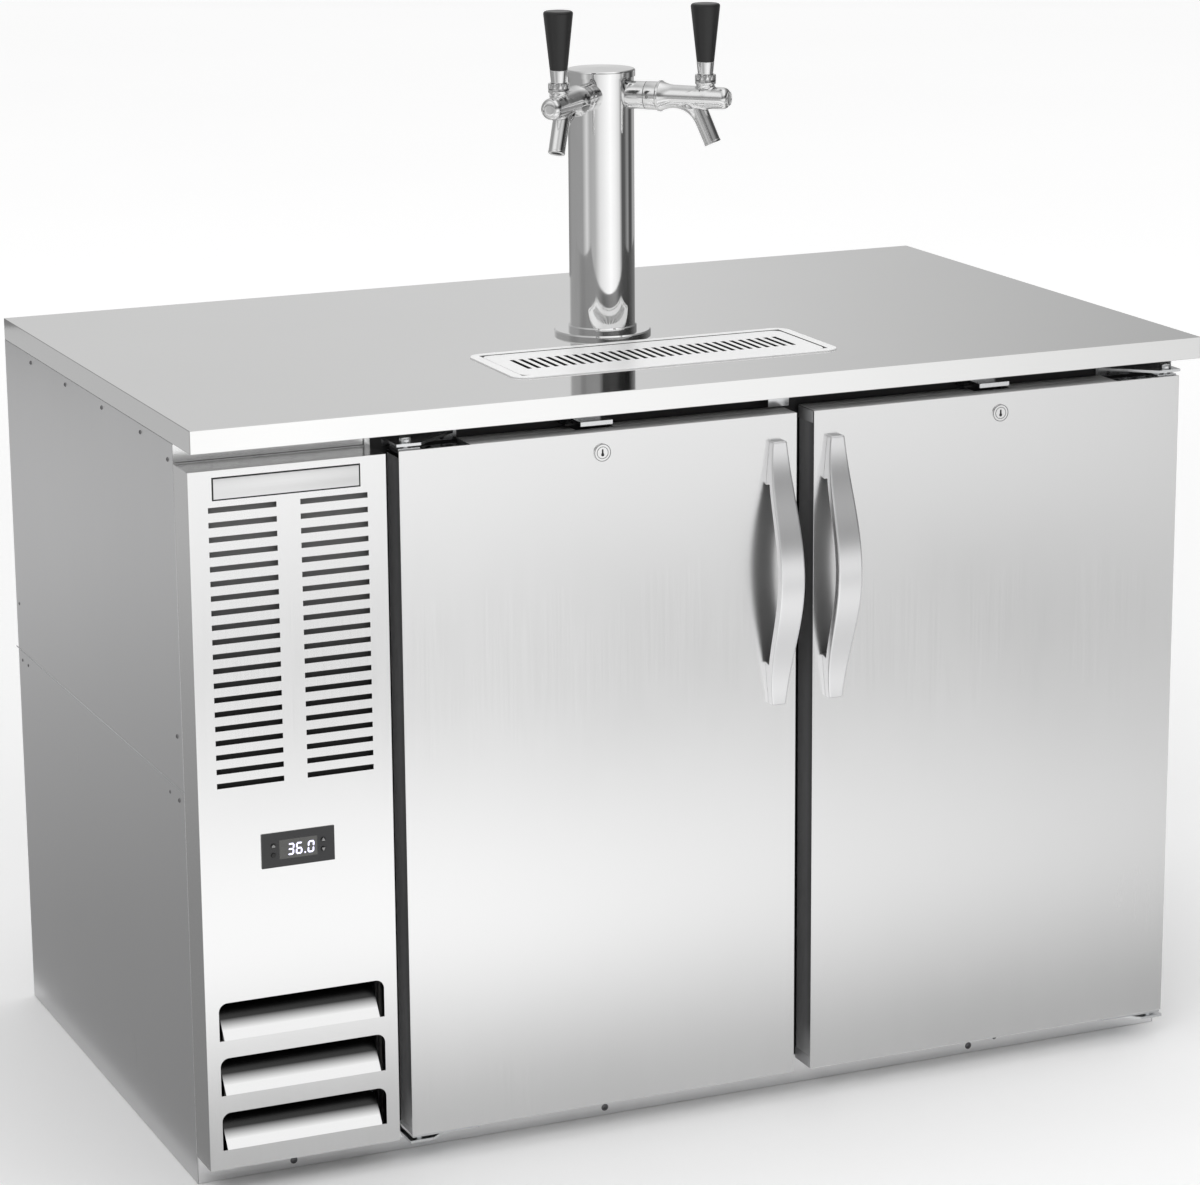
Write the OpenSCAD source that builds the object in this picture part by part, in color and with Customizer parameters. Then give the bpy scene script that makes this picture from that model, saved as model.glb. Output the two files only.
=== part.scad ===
// Under-counter keg cooler with two doors, a twin-tap draft tower and a flush drip tray.
// Millimetres. The origin is on the floor at the centre of the cabinet's base, +Z is up and -Y is the front.

/* [Cabinet] */
// Width over the side panels
cab_w = 1219; // [1150:1:1320]
// Depth of the cabinet behind the doors
cab_d = 662; // [620:1:740]
// Height from the floor to the worktop
cab_h = 859; // [830:1:900]
// Thickness of the outer steel sheet
skin_t = 1.2; // [0.8:0.1:2]
// Height of the base frame
base_h = 35; // [28:1:50]
// Width of the base frame's rails
base_rail_w = 40; // [25:1:60]
// Thickness of the base frame's deck
deck_t = 3; // [2:0.5:6]
// Thickness of the insulation
foam_t = 50; // [40:1:60]
// Thickness of the keg room's liner
liner_t = 1; // [0.6:0.1:2]
// Thickness of the front frame
frame_t = 3; // [2:0.5:5]
// Width of the mullion between the doors
mullion_w = 60; // [50:1:70]
// Depth of the mullion
mullion_d = 40; // [25:1:60]
// Height of the seam between the left side panels
side_seam_z = 450; // [350:1:550]
// Width of that seam
side_seam_w = 1.5; // [0.5:0.1:3]
// Width of the left side panels' folded front edge
side_flange_w = 15; // [10:1:25]

/* [Worktop] */
// Height of the folded edge
top_edge_h = 25.5; // [20:0.5:40]
// Thickness of the worktop sheet
top_sheet = 1.5; // [1:0.1:2.5]
// Overhang in front of the cabinet
top_over = 62; // [58:1:75]
// Width of the inward fold under the front edge
top_return = 20; // [10:1:40]

/* [Machine bay] */
// Width of the bay and of its front panel
bay_w = 220; // [205:1:260]
// Thickness of the front panel's sheet
panel_t = 1.2; // [0.8:0.1:2]
// Height of the front panel's lower edge
panel_z0 = 33; // [25:1:40]
// Gap between the front panel and the worktop's edge
panel_top_gap = 21.5; // [12:0.5:30]
// Length of a grille slot
slot_w = 75.5; // [60:0.5:80]
// Height of a grille slot
slot_h = 6; // [4:0.5:9]
// Distance from slot to slot
slot_pitch = 15.85; // [13:0.05:16]
// Slots in a column
slot_rows = 20; // [10:1:20]
// Distance between the two columns
slot_column_gap = 26.5; // [15:0.5:40]
// Distance of the top slot below the panel's top edge
slot_drop = 39.4; // [35:0.1:60]
// Width of a louvre opening
louvre_w = 190; // [150:1:195]
// Height of a louvre opening
louvre_h = 43; // [30:1:50]
// Distance from louvre to louvre
louvre_pitch = 63; // [58:0.5:75]
// Number of louvres
louvre_count = 3; // [1:1:4]
// Radius of a louvre opening's upper corners
louvre_r = 10; // [4:0.5:14]
// Height of the lowest louvre above the panel's lower edge
louvre_z = 22; // [15:1:60]
// Length of a louvre's bent-in tab
scoop_l = 41; // [30:1:46]
// Slope of the tab
scoop_angle = 55; // [45:1:65]
// Gap at each end of a tab
scoop_inset = 5.5; // [2:0.5:10]

/* [Controller] */
// Width of the controller's face
ctl_w = 82.8; // [70:0.1:95]
// Height of the controller's face
ctl_h = 38.5; // [34:0.1:46]
// Thickness of the face
ctl_face_t = 5; // [3:0.5:8]
// How far the face stands out of the panel
ctl_proud = 1.5; // [0.5:0.1:3]
// Width of the case behind the panel
ctl_body_w = 71; // [60:0.5:78]
// Height of the case behind the panel
ctl_body_h = 29; // [24:0.5:33]
// Depth of the case
ctl_depth = 58; // [40:1:70]
// Height of the controller's middle above the floor
ctl_z = 389.3; // [360:0.1:410]
// Width of the display lens
lens_w = 43; // [30:0.5:48]
// Height of the display lens
lens_h = 21.5; // [14:0.5:26]
// Thickness of the display lens
lens_t = 1.2; // [0.8:0.1:2]
// Diameter of a push button
button_d = 5; // [3.5:0.1:6]
// How far a button stands out of the face
button_proud = 1; // [0.8:0.1:1.5]
// Gap round a button
button_gap = 0.3; // [0.2:0.05:0.5]
// Distance of the buttons from the middle, sideways
button_x = 28.4; // [27:0.1:32]
// Distance between the two buttons of a pair
button_pitch = 10.4; // [8:0.1:14]

/* [Refrigeration] */
// Diameter of the compressor's can
comp_d = 150; // [120:1:165]
// Height of the compressor's can
comp_h = 190; // [150:1:230]
// Height of the rubber mounts under the compressor
comp_mount_h = 18; // [10:1:30]
// Place of the compressor from front to back
comp_y = 90; // [40:1:150]
// Depth of a finned coil
coil_d = 44; // [30:1:60]
// Height of the condenser
cond_h = 215; // [190:1:250]
// Number of fins of the condenser
cond_fins = 18; // [8:1:24]
// Height of the evaporator's housing
evap_h = 250; // [220:1:300]
// Width of the evaporator's housing
evap_w = 500; // [400:1:600]
// Depth of the evaporator's housing
evap_d = 150; // [140:1:180]
// Thickness of the housing's sheet
evap_t = 1.5; // [1:0.1:2.5]
// Number of fins of the evaporator
evap_fins = 24; // [10:1:30]
// Diameter of the coils' tubes
coil_tube_d = 9.5; // [8:0.1:12]
// Thickness of a fin
fin_t = 1; // [0.6:0.1:1.5]
// Diameter of a fan
fan_d = 150; // [120:1:160]
// Number of blades of a fan
fan_blades = 5; // [3:1:7]
// Pitch of a fan blade
fan_pitch = 28; // [15:1:40]
// Diameter of a fan's hub
fan_hub_d = 40; // [30:1:50]
// Length of a fan's hub
fan_hub_l = 22; // [16:1:30]
// Gap between the fan's tips and its opening
fan_gap = 6; // [3:0.5:10]
// Diameter of a fan motor
motor_d = 64; // [50:1:80]
// Length of a fan motor
motor_l = 46; // [30:1:50]
// Diameter of a fan motor's shaft
shaft_d = 6; // [5:0.1:8]
// Diameter of the supply cord's gland
gland_d = 26; // [20:0.5:32]
// Diameter of the cord hole in that gland
gland_bore = 10; // [7:0.5:13]

/* [Doors] */
// Thickness of a door
door_t = 40; // [36:1:46]
// Height of the doors' lower edge
door_z0 = 35; // [33:1:45]
// Gap between the doors and the worktop's edge
door_top_gap = 20.5; // [18:0.5:28]
// Gap between the left door and the front panel
door_side_gap = 15; // [13:0.5:25]
// Gap between the two doors
door_mid_gap = 21.5; // [16:0.5:30]
// Distance of the right door from the cabinet's right side
door_margin = 19.5; // [14:0.5:30]
// Thickness of the door's sheet
door_sheet = 1; // [0.8:0.1:1.6]
// Width of the doors' edge trims
trim_w = 6; // [4:0.5:9]
// Radius of the trims' outer edges
trim_r = 4; // [2:0.5:5]
// Length of the trims' end caps
trim_cap_h = 7; // [4:0.5:12]
// Thickness of the gaskets
gasket_t = 9.2; // [7:0.1:12]
// Width of the gaskets
gasket_w = 16; // [12:0.5:18]
// Distance of the gasket from the door's hinge edge
gasket_hinge_inset = 15; // [13:0.5:18]
// Distance of the gasket from the door's free edge
gasket_free_inset = 3; // [1:0.5:6]
// Distance of the gasket from the door's top and bottom edges
gasket_end_inset = 20; // [12:0.5:28]
// Room between a closed gasket and the front frame
gasket_gap = 0.3; // [0.1:0.05:0.6]
// Depth of the recess in a door's inner face
pan_depth = 6; // [3:0.5:12]
// Margin of that recess
pan_margin = 48; // [40:1:80]

/* [Hinges] */
// Distance of the hinge axis from the door's edge and front
hinge_inset = 12; // [10:0.5:14]
// Diameter of the hinge pins
hinge_pin_d = 8; // [6:0.1:10]
// Radial room round a hinge pin
hinge_fit = 0.05; // [0.02:0.01:0.1]
// Thickness of the hinge plates
hinge_t = 3; // [2:0.1:4]
// Length of the hinge leaf on a door
leaf_l = 80; // [60:1:90]
// Depth of the pocket for the upper leaf in a door's top
leaf_pocket = 8; // [6:0.5:12]
// Length of the hinge brackets on the cabinet
bracket_l = 84; // [75:1:130]
// Gap between a hinge leaf and its bracket
hinge_gap = 3; // [2:0.1:4]
// Side of the leaf's knuckle plate
knuckle_w = 26; // [22:0.5:30]
// How far the knuckle plate stands above the door's top
knuckle_proud = 1.5; // [0.5:0.1:3]

/* [Locks] */
// Diameter of the lock's face
lock_d = 20; // [17:0.1:24]
// Diameter of the lock's barrel
lock_barrel_d = 17; // [14:0.1:17]
// Diameter of the turning plug
plug_d = 12; // [9:0.1:13]
// Radial room round the plug
plug_fit = 0.05; // [0.02:0.01:0.1]
// Length of the barrel
lock_l = 28; // [22:0.5:30]
// How far the lock's face stands out of the door
lock_proud = 1.5; // [0.5:0.1:3]
// Distance of the lock below the door's top edge
lock_drop = 23; // [20:0.5:26]
// Reach of the cam past the door's top edge
cam_over = 5.5; // [4:0.1:6]
// Width of the cam
cam_w = 7; // [5:0.5:9]
// Thickness of the cam
cam_t = 2.5; // [1.5:0.1:4]
// Width of the notch in the door's top edge
notch_w = 45; // [42:0.5:55]
// Width of a strike
strike_w = 38; // [36:0.5:52]
// Thickness of a strike
strike_t = 2.2; // [1.5:0.1:3]
// Room between the cam and the strike
strike_gap = 1.5; // [0.5:0.1:2]
// Gap between the door's top edge and the strike's lip
strike_lift = 4.5; // [2:0.1:5]

/* [Handles] */
// Length of a handle
handle_l = 303; // [260:1:340]
// Width of a handle in the middle
handle_w = 29.3; // [24:0.1:34]
// Width of a handle at its ends
handle_end_w = 16.6; // [12:0.1:20]
// How far a handle stands out of the door in the middle
handle_d = 44.6; // [40:0.1:60]
// How far a handle stands out of the door at its ends
handle_end_d = 10; // [7:0.1:14]
// Thickness of the grip bar
handle_bar_t = 10; // [8:0.1:13]
// Length of the finger gap
handle_gap_l = 207; // [180:1:220]
// Depth at which the finger gap comes to a point
handle_apex = 8; // [5:0.5:10]
// Length of the finger gap's pointed ends
handle_lead = 9; // [5:0.5:14]
// Distance of the handle's middle from the door's free edge
handle_inset = 25; // [20:0.5:40]
// Distance of the handle's top end below the door's top edge
handle_drop = 28.5; // [20:0.5:80]

/* [Drip tray] */
// Width of the tray's rim
tray_w = 400; // [340:1:460]
// Depth of the tray's rim from front to back
tray_d = 152; // [130:1:160]
// Radius of the rim's corners
tray_r = 18; // [12:0.5:24]
// Width of the rim
tray_rim = 12; // [8:0.5:18]
// Thickness of the rim above the worktop
tray_rim_t = 1.5; // [1:0.1:3]
// Depth of the basin below the worktop
tray_depth = 22; // [16:1:24]
// Thickness of the tray's wall
tray_wall = 1.2; // [0.8:0.1:2]
// Width of the ledge that carries the grille
tray_ledge = 5; // [3:0.5:8]
// Thickness of the grille
grille_t = 2; // [1.5:0.1:3]
// Room round the grille
grille_gap = 1.2; // [0.3:0.1:2]
// Distance from the worktop's front edge to the tray's middle
tray_y = 182; // [165:1:185]
// Number of slots in the grille
grille_slots = 31; // [15:1:33]
// Distance from slot to slot in the grille
grille_pitch = 10.9; // [9:0.1:11]
// Width of a slot in the grille
grille_slot_w = 5.5; // [3:0.1:6]
// Length of a slot in the grille
grille_slot_l = 56; // [40:1:90]
// Diameter of the drain tail
drain_d = 19.05; // [15:0.05:22]
// Diameter of the drain's bore
drain_bore = 15; // [10:0.5:16]
// Diameter of the drain's boss in the insulation
drain_boss_d = 25; // [23:0.5:30]
// Free length of the drain tail in the keg room
drain_l = 30; // [20:1:40]

/* [Tower] */
// Diameter of the column
tower_d = 76.2; // [70:0.1:90]
// Wall of the column
tower_wall = 1.5; // [1:0.1:2.5]
// Height of the tower above the worktop
tower_h = 309.5; // [260:0.5:360]
// Distance from the worktop's front edge to the tower's axis
tower_y = 328; // [322:1:360]
// Diameter of the base flange
flange_d = 113; // [100:1:125]
// Thickness of the base flange
flange_t = 5; // [4:0.5:7]
// Height of the collar on the base flange
collar_h = 11; // [8:0.5:25]
// Wall of that collar
collar_wall = 1.8; // [1.6:0.1:5]
// Height of the cap
cap_h = 10.5; // [8:0.5:11]
// Rise of the cap's domed top
cap_rise = 2; // [1:0.1:4]
// Wall of the cap
cap_wall = 1.6; // [1:0.1:2]
// Room between the pieces of the tower
tower_fit = 0.1; // [0.05:0.01:0.2]
// Diameter of the hole in the worktop under the tower
tower_hole_d = 62; // [50:1:68]
// Distance of the faucets' axis below the tower's top
tap_drop = 30.9; // [27:0.1:40]
// Angle of each faucet from straight ahead
tap_angle = 45; // [40:1:60]

/* [Faucets] */
// Diameter of the shank's sleeve
shank_d = 32; // [28:0.5:32]
// Diameter of the shank's thread
shank_thread_d = 22; // [18:0.5:24]
// Bore of the shank
shank_bore = 9.5; // [6:0.1:12]
// Length of the shank's sleeve, measured from the column
shank_l = 11; // [8:0.5:16]
// Width across the flats of the shank's inner nut
shank_nut = 28; // [26:0.5:30]
// Diameter of the coupling collar
coupling_d = 32.4; // [31:0.1:40]
// Length of the coupling collar
coupling_l = 14; // [12:0.5:24]
// Diameter of the faucet's tail in the collar
tail_d = 26; // [22:0.1:28]
// Length of the faucet's body in front of the collar
body_l = 94; // [84:1:100]
// Diameter of the body at the collar
body_d0 = 36; // [30:0.1:40]
// Diameter of the body behind the bonnet
body_d1 = 27.2; // [25.5:0.1:29]
// Diameter of the body at its end
body_d2 = 24.6; // [23:0.1:26]
// Length over which the body narrows behind
body_fair_l = 16; // [8:0.5:20]
// Distance of the bonnet from the body's end
bonnet_back = 29; // [27:0.5:34]
// Diameter of the valve's chamber
chamber_d = 14; // [13:0.1:15]
// Diameter of the valve's rear bore
rear_bore_d = 16.5; // [15:0.1:18]
// Diameter of the valve's guide rod
guide_d = 8; // [6:0.1:9]
// Diameter of the spout
spout_d = 19; // [16:0.1:19.5]
// Bore of the spout
spout_bore = 11; // [9:0.1:13]
// Angle of the spout below the horizontal
spout_angle = 66; // [60:1:75]
// Drop of the spout's end below the faucet's axis
spout_drop = 51; // [44:0.5:60]
// Distance of the spout's end in front of the bonnet's axis
spout_reach = 8.6; // [4:0.1:12]
// Distance from the bonnet's axis back to the spout's root
spout_back = 30; // [28:0.5:36]
// Diameter of the spout's root
spout_root_d = 17; // [13:0.1:17]
// Angle of the spout's root below the horizontal
spout_root_angle = 45; // [38:1:50]
// Height of the lever's pivot above the faucet's axis
pivot_z = 15; // [14.5:0.1:16.5]
// Radius of the bonnet's dome
dome_r = 10.6; // [10:0.1:11]
// Room between the dome and the lever's skirt
dome_gap = 0.4; // [0.3:0.05:0.6]
// Diameter of the lever's skirt
skirt_d = 24.5; // [24:0.1:26]
// Height of the lever's skirt
skirt_h = 6; // [6:0.1:7]
// Diameter of the lever's stem
stem_d = 6; // [5:0.1:6.4]
// Height of the ferrule
ferrule_h = 14.7; // [10:0.1:24]
// Diameter of the ferrule at its foot
ferrule_d0 = 19; // [16:0.1:22]
// Diameter of the ferrule at its top
ferrule_d1 = 20.8; // [17:0.1:24]
// Length of the grip
grip_l = 65.5; // [50:0.5:110]
// Diameter of the grip at its foot
grip_d0 = 20; // [17:0.1:24]
// Diameter of the grip at its top
grip_d1 = 33.5; // [25:0.1:40]
// Radius of the grip's top edge
grip_r = 3; // [1:0.5:6]
// Diameter of the beer tubes
tube_d = 9.5; // [7:0.1:10]
// Radius of the beer tubes' bend
tube_bend_r = 12; // [11:0.5:13]
// Length of the beer tubes in the keg room
tube_tail_l = 40; // [25:1:60]

/* [Hidden] */
$fn = 64;
eps = 0.01;
through = 1;

// Faces of the cabinet
x_left = -cab_w / 2;
x_right = cab_w / 2;
y_front = -cab_d / 2;
y_back = cab_d / 2;
x_in_left = x_left + skin_t;
x_in_right = x_right - skin_t;
y_in_back = y_back - skin_t;
z_under = cab_h - top_edge_h;
y_top_front = y_front - top_over;
bulk_x = x_left + bay_w;

// The keg room inside the insulation
room_x = [bulk_x + foam_t, x_in_right - foam_t];
room_y = [y_front + frame_t, y_in_back - foam_t];
room_z = [base_h + foam_t, z_under - foam_t];

// Doors: both have the same size, the left one is hinged on its left edge and the right one on its right edge
door_w = (cab_w - bay_w - door_side_gap - door_mid_gap - door_margin) / 2;
door_h = z_under - door_top_gap - door_z0;
door_z1 = door_z0 + door_h;
door_back = y_front - gasket_gap - gasket_t;
door_front = door_back - door_t;
left_hinge_x = bulk_x + door_side_gap;
right_hinge_x = x_right - door_margin;
mullion_x = left_hinge_x + door_w + door_mid_gap / 2;
pivot_y = door_front + hinge_inset;

// Front panel
panel_z1 = z_under - panel_top_gap;
panel_mid_x = x_left + bay_w / 2;
scoop_w = louvre_w - 2 * scoop_inset;
slot_margin = 8;
slot_top = panel_z1 - slot_drop;
slot_room = slot_top - slot_h - ctl_z - ctl_h / 2 - slot_margin;
slot_step = min(slot_pitch, slot_room / max(1, slot_rows - 1));
header_cut = 6.5;
header_seam = 0.6;
header_gap = 0.3;

// Controller
ctl_front = door_front - ctl_proud;
ctl_room = 0.4;
ctl_hole_x = ctl_body_w / 2 + ctl_room;
ctl_hole_z = ctl_body_h / 2 + ctl_room;
button_l = ctl_face_t - lens_t + button_proud;

// Fans and coils
fan_y_gap = 6;
coil_front_gap = 8;
coil_side_gap = 1;
cond_y = y_front + coil_front_gap;
cond_w = bay_w - 2 * (skin_t + coil_side_gap);
fan_z = base_h + cond_h / 2;
shroud_t = 1.5;
shroud_ring = 14;
cond_fan_y = cond_y + coil_d + shroud_ring;
evap_y = room_y[1] - liner_t - evap_d;
evap_z = room_z[1] - liner_t - evap_h;
evap_fan_z = evap_z + evap_h / 2;
evap_fan_y = evap_y + evap_t + fan_y_gap;
shaft_fit = 0.05;

// Locks and strikes, in a door's own frame
lock_x = door_w / 2;
lock_z = door_z1 - lock_drop;
cam_r = lock_drop + cam_over;
cam_gap = 0.2;
cam_y = door_front + lock_l + cam_gap;
strike_z = door_z1 + cam_over + strike_gap;
strike_reach = 14;
strike_y = cam_y - strike_reach;

// Drip tray and tower
tray_cy = y_top_front + tray_y;
tower_cy = y_top_front + tower_y;
grille_w = tray_w - 2 * tray_rim;
grille_d = tray_d - 2 * tray_rim;
grille_r = tray_r - tray_rim / 2;
grille_sink = 0.5;
ledge_z = cab_h + tray_rim_t - grille_t - grille_sink;
tray_room = 1;
foam_seam = 0.4;
tower_top = cab_h + tower_h;
tap_z = tower_top - tap_drop;
tower_r = tower_d / 2;

// Stations along a faucet, measured from the column's axis
shank_inner_l = 18;
seat_l = 13;
seat_t = 4;
guide_l = 17;
shank_x0 = tower_r - shank_inner_l;
collar_x = tower_r + shank_l;
body_x = collar_x + coupling_l;
tail_x = collar_x + coupling_l / 2;
body_end = body_x + body_l;
bonnet_x = body_end - bonnet_back;
seat_x = body_x + seat_l;
chamber_x = seat_x + seat_t;
guide_x = body_end - guide_l;
spout_tip_x = bonnet_x + spout_reach;
spout_root_x = bonnet_x - spout_back;
spout_turn = spout_angle - spout_root_angle;
spout_root_l = 1 + ((spout_tip_x - spout_root_x) * sin(spout_angle) - spout_drop * cos(spout_angle)
    - spout_d / 2 + spout_root_d / 2 * cos(spout_turn)) / sin(spout_turn);
boss_drop = 1;
boss_wall = 0.8;
boss_z = pivot_z - boss_drop;
socket_r = 6;
skirt_lift = 5.8;
skirt_z = pivot_z + skirt_lift;
ferrule_z = skirt_z + skirt_h;
grip_z = ferrule_z + ferrule_h;
slot_clear = 0.9;
slot_back = 11.5;
stud_d = 9;
stud_l = 15;

// Shapes that repeat

// A block between two limits on each axis
module block(x, y, z) {
    translate([x[0], y[0], z[0]])
        cube([x[1] - x[0], y[1] - y[0], z[1] - z[0]]);
}

// A flat rectangle with round corners, centred
module round_rect(w, d, r) {
    square([w - 2 * r, d], center = true);
    square([w, d - 2 * r], center = true);
    for (sx = [-1, 1], sy = [-1, 1])
        translate([sx * (w / 2 - r), sy * (d / 2 - r)])
            circle(r);
}

module round_plate(w, d, r, z0, z1) {
    translate([0, 0, z0])
        linear_extrude(z1 - z0)
            round_rect(w, d, r);
}

// A round bar along +X, +Y or +Z from a point
module bar_x(d, l) {
    rotate([0, 90, 0])
        cylinder(d = d, h = l);
}

module bar_y(d, l) {
    rotate([-90, 0, 0])
        cylinder(d = d, h = l);
}

// Places a door piece: side 0 is the left door, side 1 the right one, mirrored
module door_at(side) {
    if (side == 0)
        translate([left_hinge_x, 0, 0])
            children();
    else
        translate([right_hinge_x, 0, 0])
            mirror([1, 0, 0])
                children();
}

// Places a faucet piece with +X along the faucet, away from the tower
module tap_at(side) {
    translate([0, tower_cy, tap_z])
        rotate([0, 0, side == 0 ? -90 - tap_angle : -90 + tap_angle])
            children();
}

// A turned piece along +X from points of station and radius
module turned_x(points) {
    rotate([0, 90, 0])
        rotate_extrude()
            polygon([for (p = points) [p[1], p[0]]]);
}

// Cabinet

module base_frame() {
    pocket_z = base_h - deck_t;
    color("gray")
        difference() {
            block([x_in_left, x_in_right], [y_front, y_in_back], [0, base_h]);
            block([x_in_left + base_rail_w, -base_rail_w / 2],
                  [y_front + base_rail_w, y_in_back - base_rail_w], [-through, pocket_z]);
            block([base_rail_w / 2, x_in_right - base_rail_w],
                  [y_front + base_rail_w, y_in_back - base_rail_w], [-through, pocket_z]);
        }
}

module side_sheet(z0, z1) {
    block([x_left, x_in_left], [y_front, y_back], [z0, z1]);
    block([x_left, x_left + side_flange_w], [y_front, y_front + skin_t], [max(z0, base_h), z1]);
}

module left_side_panels() {
    color("darkgray") {
        side_sheet(0, side_seam_z - side_seam_w / 2);
        side_sheet(side_seam_z + side_seam_w / 2, z_under);
    }
}

module right_side_panel() {
    color("darkgray")
        block([x_in_right, x_right], [y_front, y_back], [0, z_under]);
}

gland_x = panel_mid_x;
gland_rise = 40;
gland_z = base_h + gland_rise;
gland_neck = gland_d - 8;
gland_flange = 5;
gland_out = 14;
gland_in = skin_t + 8;
gland_fit = 0.4;

module rear_panel() {
    color("gray")
        difference() {
            block([x_in_left, x_in_right], [y_in_back, y_back], [0, z_under]);
            translate([gland_x, y_in_back - through, gland_z])
                bar_y(gland_neck + gland_fit, skin_t + 2 * through);
        }
}

module cord_gland() {
    color("black")
        translate([gland_x, y_back, gland_z])
            difference() {
                union() {
                    bar_y(gland_d, gland_flange);
                    translate([0, -gland_in, 0])
                        bar_y(gland_neck, gland_in + gland_out);
                }
                translate([0, -gland_in - through, 0])
                    bar_y(gland_bore, gland_in + gland_out + 2 * through);
            }
}

// Insulation: boards butted round the keg room. Four strips on the deck leave the tray's pocket free.
module foam_body() {
    x = [bulk_x, x_right - max(skin_t, top_sheet)];
    y = [room_y[0], y_back - max(skin_t, top_sheet)];
    wall_z = [room_z[0] + foam_seam, room_z[1] - foam_seam];
    deck_z = [room_z[1], cab_h - tray_depth - tray_room];
    strip_z = [deck_z[1] + foam_seam, cab_h - top_sheet];
    pocket_x = grille_w / 2 + tray_wall + tray_room;
    pocket_y = grille_d / 2 + tray_wall + tray_room;
    color("khaki") {
        block(x, y, [base_h, room_z[0]]);
        block([x[0], room_x[0]], y, wall_z);
        block([room_x[1], x[1]], y, wall_z);
        block([room_x[0] + foam_seam, room_x[1] - foam_seam], [room_y[1], y[1]], wall_z);
        difference() {
            block(x, y, deck_z);
            tower_hole(deck_z);
            drain_hole(deck_z);
        }
        block([x[0], -pocket_x], y, strip_z);
        block([pocket_x, x[1]], y, strip_z);
        block([-pocket_x + foam_seam, pocket_x - foam_seam], [y[0], tray_cy - pocket_y], strip_z);
        difference() {
            block([-pocket_x + foam_seam, pocket_x - foam_seam], [tray_cy + pocket_y, y[1]], strip_z);
            tower_hole(strip_z);
        }
    }
}

// The ways for the tower's tubes and the tray's drain through a layer between two heights
module tower_hole(z) {
    translate([0, tower_cy, z[0] - through])
        cylinder(d = tower_hole_d, h = z[1] - z[0] + 2 * through);
}

module drain_hole(z) {
    translate([0, tray_cy, z[0] - through])
        cylinder(d = drain_boss_d + tray_room, h = z[1] - z[0] + 2 * through);
}

module liner() {
    inner_x = [room_x[0] + liner_t, room_x[1] - liner_t];
    inner_z = [room_z[0] + liner_t, room_z[1] - liner_t];
    color("silver")
        difference() {
            block(room_x, room_y, room_z);
            block(inner_x, [room_y[0] - through, room_y[1] - liner_t], inner_z);
            tower_hole([inner_z[1], room_z[1]]);
            drain_hole([inner_z[1], room_z[1]]);
        }
}

module front_frame() {
    mouth_y = [y_front - through, y_front + frame_t + through];
    mullion_half = mullion_w / 2;
    color("dimgray") {
        difference() {
            block([bulk_x, x_in_right], [y_front, y_front + frame_t], [base_h, z_under]);
            block([room_x[0], mullion_x - mullion_half], mouth_y, room_z);
            block([mullion_x + mullion_half, room_x[1]], mouth_y, room_z);
        }
        block([mullion_x - mullion_half, mullion_x + mullion_half],
              [y_front + eps, y_front + mullion_d], [room_z[0] + liner_t, room_z[1] - liner_t]);
    }
}

module worktop() {
    color("gainsboro")
        difference() {
            union() {
                difference() {
                    block([x_left, x_right], [y_top_front, y_back], [z_under, cab_h]);
                    block([x_left + top_sheet, x_right - top_sheet],
                          [y_top_front + top_sheet, y_back - top_sheet],
                          [z_under - through, cab_h - top_sheet]);
                }
                block([x_left + eps, x_right - eps], [y_top_front + eps, y_top_front + top_return],
                      [z_under, z_under + top_sheet]);
            }
            tower_hole([cab_h - top_sheet, cab_h]);
            translate([0, tray_cy, 0])
                round_plate(grille_w + 2 * tray_wall + tray_room, grille_d + 2 * tray_wall + tray_room,
                            grille_r + tray_room, cab_h - top_sheet - through, cab_h + through);
        }
}

// Machine bay

// The outline of a louvre's opening or tab, square below and round above
module louvre_outline(w, h) {
    translate([-w / 2, 0])
        square([w, h - louvre_r]);
    translate([-w / 2 + louvre_r, 0])
        square([w - 2 * louvre_r, h]);
    for (s = [-1, 1])
        translate([s * (w / 2 - louvre_r), h - louvre_r])
            circle(louvre_r);
}

module front_panel() {
    face_y = [door_front - through, door_front + panel_t + through];
    color("whitesmoke") {
        difference() {
            block([x_left, bulk_x], [door_front, y_front], [panel_z0, panel_z1]);
            block([x_left + panel_t, bulk_x - panel_t], [door_front + panel_t, y_front + through],
                  [panel_z0 + panel_t, panel_z1 - panel_t]);
            for (s = [-1, 1], i = [0 : slot_rows - 1]) {
                slot_mid = panel_mid_x + s * (slot_w + slot_column_gap) / 2;
                slot_z = slot_top - i * slot_step;
                block([slot_mid - slot_w / 2, slot_mid + slot_w / 2], face_y, [slot_z - slot_h, slot_z]);
            }
            for (i = [0 : louvre_count - 1])
                translate([panel_mid_x, face_y[1], panel_z0 + louvre_z + i * louvre_pitch])
                    rotate([90, 0, 0])
                        linear_extrude(face_y[1] - face_y[0])
                            louvre_outline(louvre_w, louvre_h);
            block([panel_mid_x - ctl_hole_x, panel_mid_x + ctl_hole_x], face_y,
                  [ctl_z - ctl_hole_z, ctl_z + ctl_hole_z]);
        }
        for (i = [0 : louvre_count - 1])
            translate([panel_mid_x, door_front, panel_z0 + louvre_z + i * louvre_pitch])
                rotate([scoop_angle, 0, 0])
                    translate([0, 0, -panel_t])
                        linear_extrude(panel_t)
                            louvre_outline(scoop_w, scoop_l);
        for (x = [[x_left, bulk_x - header_cut], [bulk_x - header_cut + header_seam, bulk_x]])
            block(x, [y_front - panel_t, y_front], [panel_z1 - eps, z_under - header_gap]);
    }
}

// A push button's place on the controller's face: column -1 or 1, row -1 or 1
module button_at(column, row) {
    translate([panel_mid_x + column * button_x, ctl_front, ctl_z + row * button_pitch / 2])
        children();
}

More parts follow.
